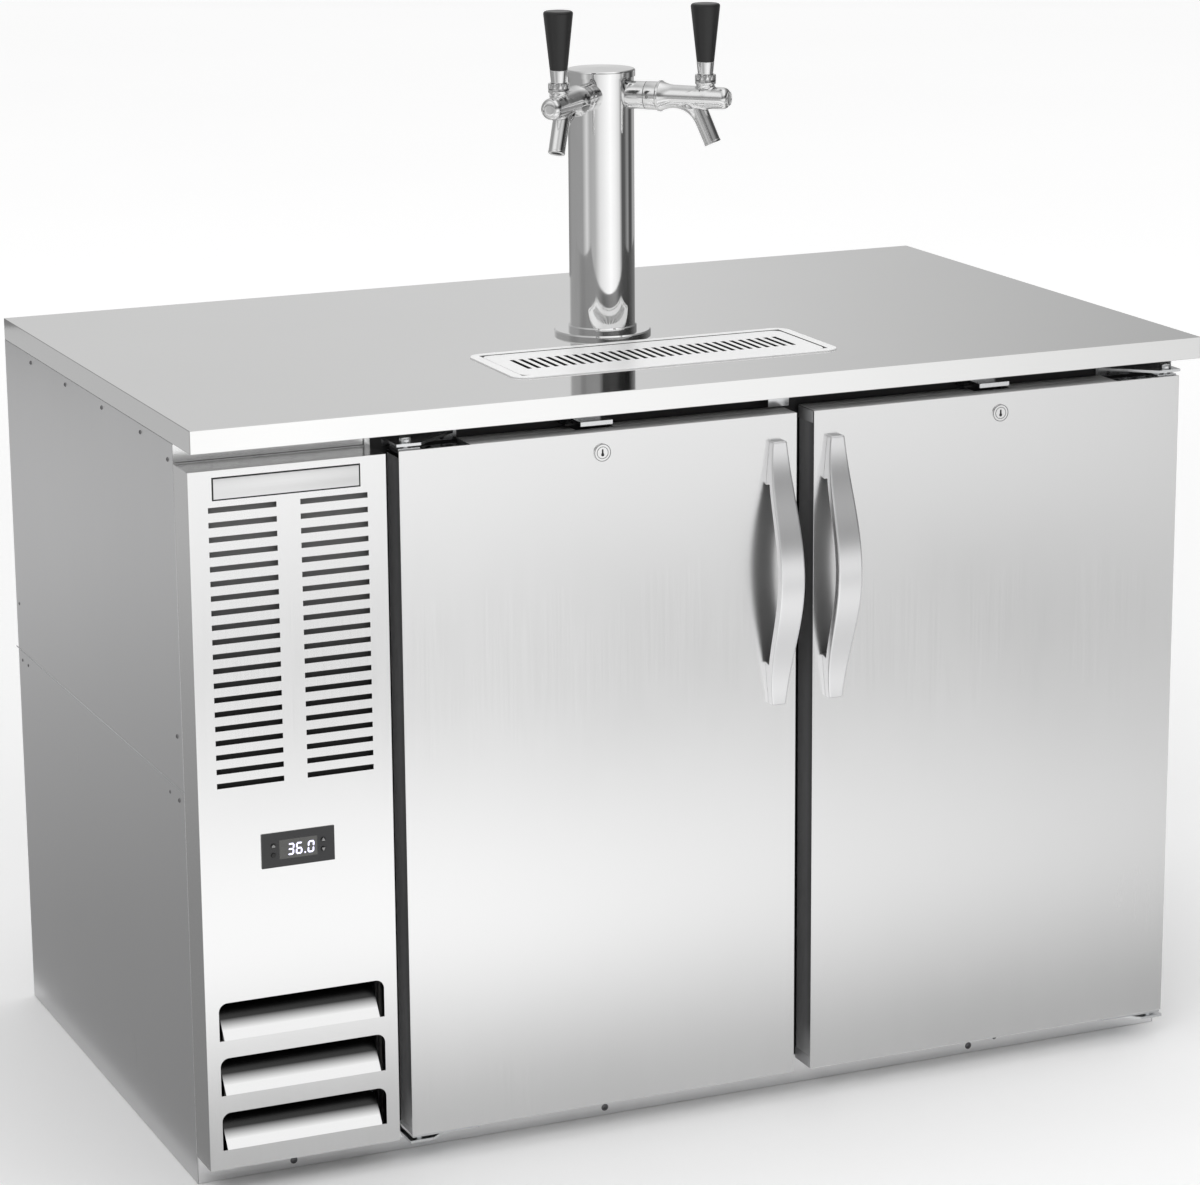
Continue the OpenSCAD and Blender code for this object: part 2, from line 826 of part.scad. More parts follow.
module controller_case() {
    color("black")
        difference() {
            union() {
                block([panel_mid_x - ctl_w / 2, panel_mid_x + ctl_w / 2], [ctl_front, door_front],
                      [ctl_z - ctl_h / 2, ctl_z + ctl_h / 2]);
                block([panel_mid_x - ctl_body_w / 2, panel_mid_x + ctl_body_w / 2],
                      [door_front - eps, ctl_front + ctl_depth],
                      [ctl_z - ctl_body_h / 2, ctl_z + ctl_body_h / 2]);
            }
            block([panel_mid_x - lens_w / 2, panel_mid_x + lens_w / 2],
                  [ctl_front - through, ctl_front + lens_t], [ctl_z - lens_h / 2, ctl_z + lens_h / 2]);
            for (column = [-1, 1], row = [-1, 1])
                button_at(column, row)
                    translate([0, -through, 0])
                        bar_y(button_d + 2 * button_gap, ctl_face_t + through);
        }
}

module controller_lens() {
    color("midnightblue")
        block([panel_mid_x - lens_w / 2, panel_mid_x + lens_w / 2], [ctl_front, ctl_front + lens_t],
              [ctl_z - lens_h / 2, ctl_z + lens_h / 2]);
}

module button(column, row) {
    color("dimgray")
        button_at(column, row)
            translate([0, -button_proud, 0])
                bar_y(button_d, button_l);
}

module button_set() {
    button(-1, 1);
}

module button_light() {
    button(-1, -1);
}

module button_up() {
    button(1, 1);
}

module button_down() {
    button(1, -1);
}

// Refrigeration

comp_foot = comp_d * 0.86;
comp_mount_d = 22;
comp_mount_x = comp_foot / 2 - comp_mount_d * 0.65;
comp_plate_t = 4;
comp_weld_h = 5;
comp_weld_out = 4;
stub_d = 9;
stub_l = 34;

module compressor() {
    can_z = base_h + comp_mount_h + comp_plate_t;
    can_r = comp_d / 2;
    dome_h = can_r * 0.45;
    weld_z = comp_h * 0.55;
    weld_r = can_r + comp_weld_out;
    color("black")
        translate([panel_mid_x, comp_y, 0]) {
            translate([0, 0, can_z - eps])
                rotate_extrude()
                    polygon(concat(
                        [[0, 0], [can_r * 0.8, 0], [can_r, dome_h * 0.5]],
                        [[can_r, weld_z], [weld_r, weld_z],
                         [weld_r, weld_z + comp_weld_h], [can_r, weld_z + comp_weld_h]],
                        [for (a = [0 : 15 : 90]) [can_r * cos(a), comp_h - dome_h + dome_h * sin(a)]]));
            translate([-comp_foot / 2, -comp_foot / 2, can_z - comp_plate_t])
                cube([comp_foot, comp_foot, comp_plate_t]);
            for (sx = [-1, 1], sy = [-1, 1])
                translate([sx * comp_mount_x, sy * comp_mount_x, base_h])
                    cylinder(d = comp_mount_d, h = comp_mount_h + eps);
            for (a = [-35, 35])
                translate([0, 0, can_z + comp_h * 0.7])
                    rotate([0, 0, a - 90])
                        translate([can_r - stub_l / 3, 0, 0])
                            bar_x(stub_d, stub_l);
        }
}

// A finned coil: end plates and fins on straight tubes, along X from its lower front left corner
module finned_coil(w, h, fins) {
    plate_t = 2;
    rows = 3;
    step = (w - 2 * plate_t) / (fins + 1);
    for (x = [0, w - plate_t])
        translate([x, 0, 0])
            cube([plate_t, coil_d, h]);
    for (i = [1 : fins])
        translate([plate_t + i * step - fin_t / 2, 1, 4])
            cube([fin_t, coil_d - 2, h - 8]);
    for (i = [0 : rows - 1], j = [-1, 1])
        translate([plate_t / 2, coil_d / 2 + j * coil_d / 4, h * (i + 0.5) / rows])
            bar_x(coil_tube_d, w - plate_t);
}

module condenser_coil() {
    color("peru")
        translate([panel_mid_x - cond_w / 2, cond_y, base_h])
            finned_coil(cond_w, cond_h, cond_fins);
}

// The place of a fan: its axis runs along +Y, from the hub's front face
module cond_fan_at() {
    translate([panel_mid_x, cond_fan_y, fan_z])
        children();
}

module evap_fan_at() {
    translate([mullion_x, evap_fan_y, evap_fan_z])
        children();
}

module condenser_shroud() {
    y0 = cond_y + coil_d;
    opening_d = fan_d + 2 * fan_gap;
    color("dimgray")
        difference() {
            union() {
                block([panel_mid_x - cond_w / 2, panel_mid_x + cond_w / 2], [y0, y0 + shroud_t],
                      [base_h, base_h + cond_h]);
                translate([panel_mid_x, y0 + shroud_t - eps, fan_z])
                    bar_y(opening_d + 2 * shroud_t, shroud_ring + fan_hub_l / 2);
            }
            translate([panel_mid_x, y0 - through, fan_z])
                bar_y(opening_d, shroud_ring + fan_hub_l + 2 * through);
        }
}

// A fan motor behind the hub's place, with its shaft and a strap to its seat
module fan_motor(strap_l) {
    motor_y = fan_hub_l + 4;
    strap_w = 30;
    strap_t = 4;
    bar_y(shaft_d, motor_y + eps);
    translate([0, motor_y, 0])
        bar_y(motor_d, motor_l);
    block([-strap_w / 2, strap_w / 2], [motor_y + motor_l - strap_t, motor_y + motor_l],
          strap_l < 0 ? [strap_l, 0] : [0, strap_l]);
}

module fan_motors() {
    color("gray") {
        cond_fan_at()
            fan_motor(base_h - fan_z);
        evap_fan_at()
            fan_motor(evap_z + evap_h - evap_t - evap_fan_z);
    }
}

module fan() {
    blade_w = fan_d * 0.34;
    blade_t = 2;
    difference() {
        union() {
            bar_y(fan_hub_d, fan_hub_l);
            intersection() {
                for (i = [0 : fan_blades - 1])
                    rotate([0, i * 360 / fan_blades, 0])
                        translate([fan_hub_d / 2 - 4, fan_hub_l / 2, 0])
                            rotate([fan_pitch, 0, 0])
                                translate([0, -blade_t / 2, -blade_w / 2])
                                    cube([fan_d / 2, blade_t, blade_w]);
                translate([0, -fan_hub_l, 0])
                    bar_y(fan_d, 3 * fan_hub_l);
            }
        }
        translate([0, -through, 0])
            bar_y(shaft_d + 2 * shaft_fit, fan_hub_l + 2 * through);
    }
}

module condenser_fan() {
    color("silver")
        cond_fan_at()
            fan();
}

module evaporator_fan() {
    color("silver")
        evap_fan_at()
            fan();
}

module evaporator_housing() {
    x0 = mullion_x - evap_w / 2;
    opening_d = fan_d + 2 * fan_gap;
    color("lightgray")
        difference() {
            block([x0, x0 + evap_w], [evap_y, evap_y + evap_d], [evap_z, evap_z + evap_h]);
            block([x0 + evap_t, x0 + evap_w - evap_t], [evap_y + evap_t, evap_y + evap_d + through],
                  [evap_z - through, evap_z + evap_h - evap_t]);
            translate([mullion_x, evap_y - through, evap_fan_z])
                bar_y(opening_d, evap_t + 2 * through);
        }
}

module evaporator_coil() {
    coil_w = evap_w - 2 * evap_t;
    coil_h = evap_h - evap_t - 20;
    color("peru")
        translate([mullion_x - coil_w / 2, evap_y + evap_d - coil_d, evap_z + evap_h - evap_t - coil_h])
            finned_coil(coil_w, coil_h, evap_fins);
}

// Doors, each in its own frame with the hinge edge at X 0

lock_fit = 0.4;

module lock_hole(d) {
    translate([lock_x, door_front - through, lock_z])
        bar_y(d, lock_l + through);
}

// The space in which the cam turns, and the notch above it
cam_room = 3;
cam_roof = 2;
notch_front = 8;

module cam_space() {
    block([lock_x - cam_w, lock_x + cam_r + cam_room], [cam_y - cam_room, cam_y + cam_t + cam_room],
          [lock_z - cam_w, door_z1 - cam_roof]);
    block([lock_x - notch_w / 2, lock_x + notch_w / 2], [cam_y - notch_front, door_back + through],
          [door_z1 - leaf_pocket, door_z1 + through]);
}

// The pocket for the upper hinge leaf
pocket_lip = 4.5;
pocket_front = door_front + pocket_lip;
leaf_room = 2;

module leaf_space() {
    block([-through, leaf_l + leaf_room], [pocket_front, door_back + through],
          [door_z1 - leaf_pocket, door_z1 + through]);
}

module door_shell() {
    inner_z = [door_z0 + door_sheet, door_z1 - door_sheet];
    color("whitesmoke")
        difference() {
            union() {
                block([0, door_w], [door_front, door_front + door_sheet], [door_z0, door_z1]);
                for (z = [door_z0, inner_z[1]])
                    block([0, door_w], [door_front + eps, door_back], [z, z + door_sheet]);
            }
            lock_hole(lock_barrel_d + lock_fit);
            cam_space();
            leaf_space();
        }
}

module door_core() {
    z0 = door_z0 + door_sheet;
    z1 = door_z1 - door_sheet;
    color("lightgray")
        difference() {
            block([trim_w, door_w - trim_w], [door_front + door_sheet, door_back], [z0, z1]);
            block([pan_margin, door_w - pan_margin], [door_back - pan_depth, door_back + through],
                  [z0 + pan_margin, z1 - pan_margin]);
            lock_hole(lock_barrel_d + lock_fit);
            cam_space();
            leaf_space();
        }
}

// An edge trim with its round outer corner at the back, and a cap at each end
module edge_trim(z0, z1) {
    depth = door_back - door_front - door_sheet;
    translate([0, door_front + door_sheet, z0])
        linear_extrude(z1 - z0)
            intersection() {
                square([trim_w, depth]);
                union() {
                    square([trim_w, depth - trim_r]);
                    translate([trim_r, 0])
                        square([trim_w, depth]);
                    translate([trim_r, depth - trim_r])
                        circle(trim_r);
                }
            }
}

module door_trims() {
    seam = 0.4;
    z0 = door_z0 + door_sheet;
    z1 = door_z1 - door_sheet;
    hinge_z1 = door_z1 - leaf_pocket;
    color([0.17, 0.17, 0.18]) {
        edge_trim(z0, z0 + trim_cap_h);
        edge_trim(z0 + trim_cap_h + seam, hinge_z1);
        translate([door_w, 0, 0])
            mirror([1, 0, 0]) {
                edge_trim(z0, z0 + trim_cap_h);
                edge_trim(z0 + trim_cap_h + seam, z1 - trim_cap_h - seam);
                edge_trim(z1 - trim_cap_h, z1);
            }
    }
}

module gasket() {
    x = [gasket_hinge_inset, door_w - gasket_free_inset];
    z = [door_z0 + gasket_end_inset, door_z1 - gasket_end_inset];
    color([0.12, 0.12, 0.13])
        difference() {
            block(x, [door_back, door_back + gasket_t], z);
            block([x[0] + gasket_w, x[1] - gasket_w], [door_back - through, door_back + gasket_t + through],
                  [z[0] + gasket_w, z[1] - gasket_w]);
        }
}

// The handle's depth and half width at a place t from -1, its lower end, to 1, its upper end
function handle_depth(t) = handle_end_d + (handle_d - handle_end_d) * (1 + cos(180 * t)) / 2;
function handle_half(t) = handle_end_w / 2 + (handle_w - handle_end_w) / 2 * (1 - pow(abs(t), 3));
handle_steps = 32;

// The bow seen from the side, with its pointed finger gap
module handle_side() {
    half = handle_l / 2;
    gap_half = handle_gap_l / 2;
    gap_t = (gap_half - handle_lead) / half;
    difference() {
        polygon(concat(
            [for (i = [0 : handle_steps]) let (t = 2 * i / handle_steps - 1) [-handle_depth(t), t * half]],
            [[0, half], [0, -half]]));
        polygon(concat(
            [[-handle_apex, -gap_half]],
            [for (i = [0 : handle_steps]) let (t = gap_t * (2 * i / handle_steps - 1))
                [handle_bar_t - handle_depth(t), t * half]],
            [[-handle_apex, gap_half], [through, gap_t * half], [through, -gap_t * half]]));
    }
}

// The bow seen from the front, wide in the middle
module handle_front() {
    half = handle_l / 2;
    polygon(concat(
        [for (i = [0 : handle_steps]) let (t = 2 * i / handle_steps - 1) [handle_half(t), t * half]],
        [for (i = [handle_steps : -1 : 0]) let (t = 2 * i / handle_steps - 1) [-handle_half(t), t * half]]));
}

module handle() {
    color("silver")
        translate([door_w - handle_inset, door_front, door_z1 - handle_drop - handle_l / 2])
            intersection() {
                translate([-handle_w, 0, 0])
                    rotate([90, 0, 90])
                        linear_extrude(2 * handle_w)
                            handle_side();
                rotate([90, 0, 0])
                    linear_extrude(handle_d + through)
                        handle_front();
            }
}

module door_lock() {
    color("silver")
        translate([lock_x, door_front, lock_z])
            difference() {
                union() {
                    translate([0, -lock_proud, 0])
                        bar_y(lock_d, lock_proud);
                    bar_y(lock_barrel_d, lock_l);
                }
                translate([0, -lock_proud - through, 0])
                    bar_y(plug_d + 2 * plug_fit, lock_l + lock_proud + 2 * through);
            }
}

key_slot_w = 1.6;
key_slot_h = 6.5;
key_slot_depth = 3;

module lock_plug() {
    color("gainsboro")
        translate([lock_x, 0, lock_z])
            difference() {
                union() {
                    translate([0, door_front - lock_proud, 0])
                        bar_y(plug_d, cam_y - door_front + lock_proud + cam_t);
                    block([0, cam_r], [cam_y, cam_y + cam_t], [-cam_w / 2, cam_w / 2]);
                }
                block([-key_slot_w / 2, key_slot_w / 2],
                      [door_front - lock_proud - through, door_front - lock_proud + key_slot_depth],
                      [-key_slot_h / 2, key_slot_h / 2]);
            }
}

// Hinge leaves on a door: the upper one lies in the pocket and carries the knuckle plate
leaf_edge = 1;
knuckle_y = pocket_front + 0.5;

module hinge_leaves() {
    floor_z = door_z1 - leaf_pocket;
    pin_hole_d = hinge_pin_d + 2 * hinge_fit;
    color("silver")
        difference() {
            union() {
                block([leaf_edge, leaf_l], [knuckle_y, door_back - leaf_edge], [floor_z, floor_z + hinge_t]);
                block([leaf_edge, knuckle_w], [knuckle_y, knuckle_y + knuckle_w],
                      [floor_z, door_z1 + knuckle_proud]);
                block([leaf_edge, leaf_l], [door_front + 2 * leaf_edge, door_back - leaf_edge],
                      [door_z0 - hinge_t, door_z0]);
            }
            translate([hinge_inset, pivot_y, floor_z - through])
                cylinder(d = pin_hole_d, h = leaf_pocket + knuckle_proud + 2 * through);
            translate([hinge_inset, pivot_y, door_z0 - hinge_t - through])
                cylinder(d = pin_hole_d, h = hinge_t + 2 * through);
        }
}

// Hinge brackets on the cabinet: a tapering plate, a fold against the cabinet and the pin
bracket_x0 = -2;
bracket_top_z = door_z1 + knuckle_proud + hinge_gap;
bracket_fold = 10.5;
pin_end = 1;
pin_head = 2;

module bracket_plate() {
    front_y = door_front + 1;
    linear_extrude(hinge_t)
        polygon([[bracket_x0, y_front], [bracket_x0, front_y], [knuckle_w, front_y], [bracket_l, y_front]]);
}

module hinge_bracket_pair() {
    low_z = door_z0 - 2 * hinge_t - hinge_gap;
    pin_low = door_z1 - leaf_pocket + pin_end;
    pin_gap = 0.3;
    translate([0, 0, bracket_top_z])
        bracket_plate();
    block([bracket_x0, bracket_l], [y_front - hinge_t, y_front],
          [bracket_top_z + hinge_t - bracket_fold, bracket_top_z + hinge_t]);
    translate([hinge_inset, pivot_y, pin_low])
        cylinder(d = hinge_pin_d, h = bracket_top_z + hinge_t + pin_head - pin_low);
    translate([0, 0, low_z])
        bracket_plate();
    block([bracket_x0, bracket_l], [y_front - hinge_t, y_front], [low_z - bracket_fold, low_z + hinge_t]);
    translate([hinge_inset, pivot_y, low_z])
        cylinder(d = hinge_pin_d, h = door_z0 - pin_gap - low_z);
}

module hinge_brackets() {
    color("silver")
        for (side = [0, 1])
            door_at(side)
                hinge_bracket_pair();
}

// A strike over a door's lock: a plate with a lip that hangs in front of the turned-up cam
module lock_strikes() {
    x = [lock_x - strike_w / 2, lock_x + strike_w / 2];
    fold_h = 10;
    color("silver")
        for (side = [0, 1])
            door_at(side) {
                block(x, [strike_y, y_front], [strike_z, strike_z + strike_t]);
                block(x, [strike_y, strike_y + strike_t], [door_z1 + strike_lift, strike_z + eps]);
                block(x, [y_front - strike_t, y_front], [strike_z, strike_z + fold_h]);
            }
}

// Drip tray

module drip_pan() {
    wall = 2 * tray_wall;
    floor_z = cab_h - tray_depth;
    boss_end = room_z[1] - liner_t;
    color("whitesmoke")
        translate([0, tray_cy, 0])
            difference() {
                union() {
                    round_plate(tray_w, tray_d, tray_r, cab_h, cab_h + tray_rim_t);
                    round_plate(grille_w + wall, grille_d + wall, grille_r, ledge_z - wall, cab_h + eps);
                    round_plate(grille_w + wall - 2 * tray_ledge, grille_d + wall - 2 * tray_ledge, grille_r,
                                floor_z, ledge_z);
                    translate([0, 0, boss_end])
                        cylinder(d = drain_boss_d, h = floor_z - boss_end + eps);
                    translate([0, 0, boss_end - drain_l])
                        cylinder(d = drain_d, h = drain_l + eps);
                }
                round_plate(grille_w, grille_d, grille_r, ledge_z, cab_h + tray_rim_t + through);
                round_plate(grille_w - 2 * tray_ledge, grille_d - 2 * tray_ledge, grille_r,
                            floor_z + tray_wall, cab_h + through);
                translate([0, 0, boss_end - drain_l - through])
                    cylinder(d = drain_bore, h = cab_h - boss_end + drain_l);
            }
}

module drip_grille() {
    z0 = ledge_z;
    color("white")
        translate([0, tray_cy, 0])
            difference() {
                round_plate(grille_w - 2 * grille_gap, grille_d - 2 * grille_gap, grille_r - grille_gap,
                            z0, z0 + grille_t);
                for (i = [0 : grille_slots - 1]) {
                    slot_mid = (i - (grille_slots - 1) / 2) * grille_pitch;
                    block([slot_mid - grille_slot_w / 2, slot_mid + grille_slot_w / 2],
                          [-grille_slot_l / 2, grille_slot_l / 2], [z0 - through, z0 + grille_t + through]);
                }
            }
}

// Tower

module tower_flange() {
    inner_r = tower_r + tower_fit;
    outer_r = inner_r + collar_wall;
    edge = 1.5;
    color("silver")
        translate([0, tower_cy, cab_h])
            rotate_extrude()
                polygon([[inner_r, 0], [flange_d / 2, 0], [flange_d / 2, flange_t - edge],
                         [flange_d / 2 - edge, flange_t], [outer_r, flange_t], [outer_r, collar_h - edge],
                         [outer_r - edge, collar_h], [inner_r, collar_h]]);
}

module tower_column() {
    top_z = tower_top - cap_rise - cap_wall;
    color("silver")
        difference() {
            translate([0, tower_cy, cab_h])
                cylinder(r = tower_r, h = top_z - cab_h);
            translate([0, tower_cy, cab_h - through])
                cylinder(r = tower_r - tower_wall, h = top_z - cab_h + 2 * through);
            for (side = [0, 1])
                tap_at(side)
                    bar_x(shank_thread_d + 2 * tower_fit, tower_d);
        }
}

module tower_cap() {
    outer_r = tower_r + tower_fit + cap_wall;
    side_h = cap_h - cap_rise;
    edge = 2.5;
    color("silver")
        translate([0, tower_cy, tower_top - cap_h])
            rotate_extrude()
                polygon(concat(
                    [[tower_r + tower_fit, 0], [outer_r, 0]],
                    [for (a = [0 : 15 : 90])
                        [outer_r - edge + edge * cos(a), side_h - edge + edge * sin(a)]],
                    [[0, cap_h], [0, side_h - cap_wall], [tower_r + tower_fit, side_h - cap_wall]]));
}

// A shank: sleeve against the column, thread through its wall, a nut inside and the nose in the collar
module shank() {
    nut_x = tower_r - tower_wall - 5;
    nut_t = 7;
    nose_gap = 0.2;
    saddle = 8;
    difference() {
        union() {
            difference() {
                translate([tower_r - saddle, 0, 0])
                    bar_x(shank_d, collar_x - tower_r + saddle);
                translate([0, 0, -shank_d])
                    cylinder(r = tower_r + tower_fit / 2, h = 2 * shank_d);
            }
            translate([shank_x0, 0, 0])
                bar_x(shank_thread_d, collar_x - shank_x0);
            translate([nut_x - nut_t, 0, 0])
                rotate([0, 90, 0])
                    cylinder(d = shank_nut / cos(30), h = nut_t, $fn = 6);
            translate([collar_x - eps, 0, 0])
                bar_x(tail_d, coupling_l / 2 - nose_gap);
        }
        translate([shank_x0 - through, 0, 0])
            bar_x(shank_bore, tail_x - shank_x0 + 2 * through);
    }
}

module shanks() {
    color("silver")
        for (side = [0, 1])
            tap_at(side)
                shank();
}

set_screw_d = 3.6;
set_screw_x = 4;

module coupling_collars() {
    color("silver")
        for (side = [0, 1])
            tap_at(side)
                difference() {
                    translate([collar_x, 0, 0])
                        bar_x(coupling_d, coupling_l);
                    translate([collar_x - through, 0, 0])
                        bar_x(tail_d + 2 * tower_fit, coupling_l + 2 * through);
                    translate([collar_x + set_screw_x, -coupling_d, 0])
                        bar_y(set_screw_d, coupling_d);
                }
}

// The faucet's outline along its axis: a fairing behind, a slow taper and a round nose
function fair(a) = (1 + cos(a)) / 2;
nose_r = 4;
collar_lip = 6;

module faucet_skin() {
    fair_x = body_x + collar_lip;
    turned_x(concat(
        [[tail_x, 0], [tail_x, tail_d / 2], [body_x, tail_d / 2], [body_x, body_d0 / 2]],
        [for (a = [0 : 22.5 : 180])
            [fair_x + body_fair_l * a / 180, body_d1 / 2 + (body_d0 - body_d1) / 2 * fair(a)]],
        [for (a = [0 : 15 : 90])
            [body_end - nose_r + nose_r * sin(a), body_d2 / 2 - nose_r + nose_r * cos(a)]],
        [[body_end, 0]]));
}

// A round bar along the spout from its end up to the faucet's axis, longer below by extra
module spout_bar(d, extra) {
    translate([spout_tip_x, 0, -spout_drop])
        rotate([0, spout_angle - 90, 0])
            translate([0, 0, -extra])
                cylinder(d = d, h = spout_drop / sin(spout_angle) + extra);
}

// The spout, with a flatter root that leads into it from behind
module spout() {
    spout_bar(spout_d, 0);
    translate([spout_root_x, 0, 0])
        rotate([0, 90 + spout_root_angle, 0])
            cylinder(d = spout_root_d, h = spout_root_l);
}

// The slot through which the lever reaches the valve shaft
module lever_slot() {
    slot_half = stem_d / 2 + slot_clear;
    block([bonnet_x - slot_back, bonnet_x + slot_half], [-slot_half, slot_half], [0, boss_z + through]);
}

module faucet_body() {
    groove_d = 13;
    groove_w = 1;
    difference() {
        union() {
            faucet_skin();
            translate([bonnet_x, 0, 0])
                cylinder(r = dome_r + boss_wall, h = boss_z);
            spout();
        }
        translate([tail_x - through, 0, 0])
            bar_x(rear_bore_d, seat_x - tail_x + through);
        translate([tail_x, 0, 0])
            bar_x(chamber_d - 4, chamber_x - tail_x + through);
        translate([chamber_x, 0, 0])
            bar_x(chamber_d, guide_x - chamber_x);
        translate([guide_x - through, 0, 0])
            bar_x(guide_d + 0.1, body_end - nose_r - 3 - guide_x + through);
        spout_bar(spout_bore, through);
        lever_slot();
        translate([bonnet_x, 0, pivot_z - socket_r])
            cylinder(r = socket_r, h = socket_r);
        translate([body_end - 0.6, 0, 0])
            difference() {
                bar_x(groove_d + groove_w, 2);
                translate([-through, 0, 0])
                    bar_x(groove_d - groove_w, 2 + 2 * through);
            }
    }
}

module left_faucet_body() {
    color("silver")
        tap_at(0)
            faucet_body();
}

module right_faucet_body() {
    color("silver")
        tap_at(1)
            faucet_body();
}

bonnet_gap = 0.6;
bonnet_wall = 0.9;

module bonnet() {
    slot_half = stem_d / 2 + bonnet_gap;
    translate([bonnet_x, 0, 0])
        difference() {
            translate([0, 0, pivot_z])
                sphere(dome_r);
            translate([0, 0, boss_z - 2 * dome_r])
                cylinder(r = 2 * dome_r, h = 2 * dome_r);
            translate([0, 0, pivot_z])
                sphere(socket_r);
            translate([0, 0, boss_z - through])
                cylinder(r = socket_r, h = pivot_z - boss_z + through);
            block([-slot_half, dome_r - bonnet_wall], [-slot_half, slot_half],
                  [pivot_z, pivot_z + 2 * dome_r]);
        }
}

module bonnets() {
    color("silver")
        for (side = [0, 1])
            tap_at(side)
                bonnet();
}

// A lever: its tip sits in the valve shaft, its ball in the bonnet, and its skirt rides over the dome
module lever() {
    ball_r = 5;
    translate([bonnet_x, 0, 0]) {
        difference() {
            union() {
                translate([0, 0, skirt_z])
                    cylinder(d = skirt_d, h = skirt_h);
                translate([0, 0, ferrule_z - eps])
                    cylinder(d1 = ferrule_d0, d2 = ferrule_d1, h = ferrule_h + eps);
            }
            translate([0, 0, pivot_z])
                sphere(dome_r + dome_gap);
        }
        sphere(d = stem_d);
        cylinder(d = stem_d, h = ferrule_z + eps);
        translate([0, 0, pivot_z])
            sphere(ball_r);
        translate([0, 0, grip_z - eps])
            cylinder(d = stud_d, h = stud_l);
    }
}

module left_lever() {
    color("silver")
        tap_at(0)
            lever();
}

module right_lever() {
    color("silver")
        tap_at(1)
            lever();
}

module grip() {
    bore_d = stud_d + 0.4;
    color([0.1, 0.1, 0.1])
        translate([bonnet_x, 0, grip_z])
            difference() {
                rotate_extrude()
                    polygon(concat(
                        [[0, 0], [grip_d0 / 2, 0]],
                        [for (a = [0 : 15 : 90])
                            [grip_d1 / 2 - grip_r + grip_r * cos(a), grip_l - grip_r + grip_r * sin(a)]],
                        [[0, grip_l]]));
                translate([0, 0, -through])
                    cylinder(d = bore_d, h = stud_l + 1 + through);
            }
}

module left_grip() {
    tap_at(0)
        grip();
}

module right_grip() {
    tap_at(1)
        grip();
}

// A valve shaft: a washer behind the seat, a neck, a slotted block for the lever's tip and a guide rod
module valve_shaft() {
    washer_d = rear_bore_d - 2;
    washer_t = 5;
    block_d = chamber_d - 1.6;
    block_l = 10;
    block_top = 2.5;
    slot_half = stem_d / 2 + slot_clear;
    slot_lead = 1;
    color("gainsboro")
        difference() {
            union() {
                translate([seat_x - washer_t - 0.4, 0, 0])
                    bar_x(washer_d, washer_t);
                translate([seat_x - 1, 0, 0])
                    bar_x(stem_d, bonnet_x - block_l - seat_x + 1 + eps);
                translate([bonnet_x - block_l, 0, 0])
                    bar_x(block_d, guide_x - 2 - bonnet_x + block_l);
                translate([guide_x - 2 - eps, 0, 0])
                    bar_x(guide_d, body_end - nose_r - 4 - guide_x + 2);
            }
            block([bonnet_x - slot_half, bonnet_x + slot_half + slot_lead], [-slot_half, slot_half],
                  [-chamber_d, chamber_d]);
            block([bonnet_x - block_l + 1, guide_x - 2], [-chamber_d, chamber_d], [block_top, chamber_d]);
        }
}

module left_valve_shaft() {
    tap_at(0)
        valve_shaft();
}

module right_valve_shaft() {
    tap_at(1)
        valve_shaft();
}

// Beer tubes: from each shank a bend and a straight run down through the worktop into the keg room
module beer_tubes() {
    down_x = shank_x0 - tube_bend_r;
    tail_z = room_z[1] - liner_t - tube_tail_l;
    color("silver")
        for (side = [0, 1])
            tap_at(side) {
                translate([shank_x0, 0, -tube_bend_r])
                    rotate([90, 0, 0])
                        rotate([0, 0, 90])
                            rotate_extrude(angle = 90)
                                translate([tube_bend_r, 0])
                                    circle(d = tube_d);
                translate([down_x, 0, tail_z - tap_z])
                    cylinder(d = tube_d, h = tap_z - tail_z - tube_bend_r + eps);
            }
}

// Fasteners: rivets on the left side, screws in the front rail and in the upper hinge brackets' folds
rivet_d = 7;
rivet_t = 1.5;
rivet_taper = 0.6;
rivet_drop = 9;
rivet_margin = 114;
rivet_count = 4;
edge_rivet_y = 18;
seam_rivet_low = 13;
seam_rivet_high = 59;
top_rivet_drop = 20;
edge_rivets_z = [side_seam_z - seam_rivet_low, side_seam_z + seam_rivet_high, z_under - top_rivet_drop];
bracket_screws_x = [0.4 * bracket_l, 0.8 * bracket_l];
screw_gap = 0.2;

module rivet() {
    cylinder(d1 = rivet_d, d2 = rivet_d * rivet_taper, h = rivet_t);
}

module rivet_x() {
    rotate([0, -90, 0])
        rivet();
}

module screw_y() {
    rotate([90, 0, 0])
        rivet();
}

module fasteners() {
    rivet_step = (cab_d - 2 * rivet_margin) / (rivet_count - 1);
    color("gray") {
        for (i = [0 : rivet_count - 1])
            translate([x_left, y_front + rivet_margin + i * rivet_step, z_under - rivet_drop])
                rivet_x();
        for (z = edge_rivets_z)
            translate([x_left, y_front + edge_rivet_y, z])
                rivet_x();
        for (x = [panel_mid_x, x_right - bay_w])
            translate([x, y_front, base_h * 0.4])
                screw_y();
        for (side = [0, 1])
            door_at(side)
                for (x = bracket_screws_x)
                    translate([x, y_front - hinge_t, bracket_top_z - rivet_d / 2 - screw_gap])
                        screw_y();
    }
}

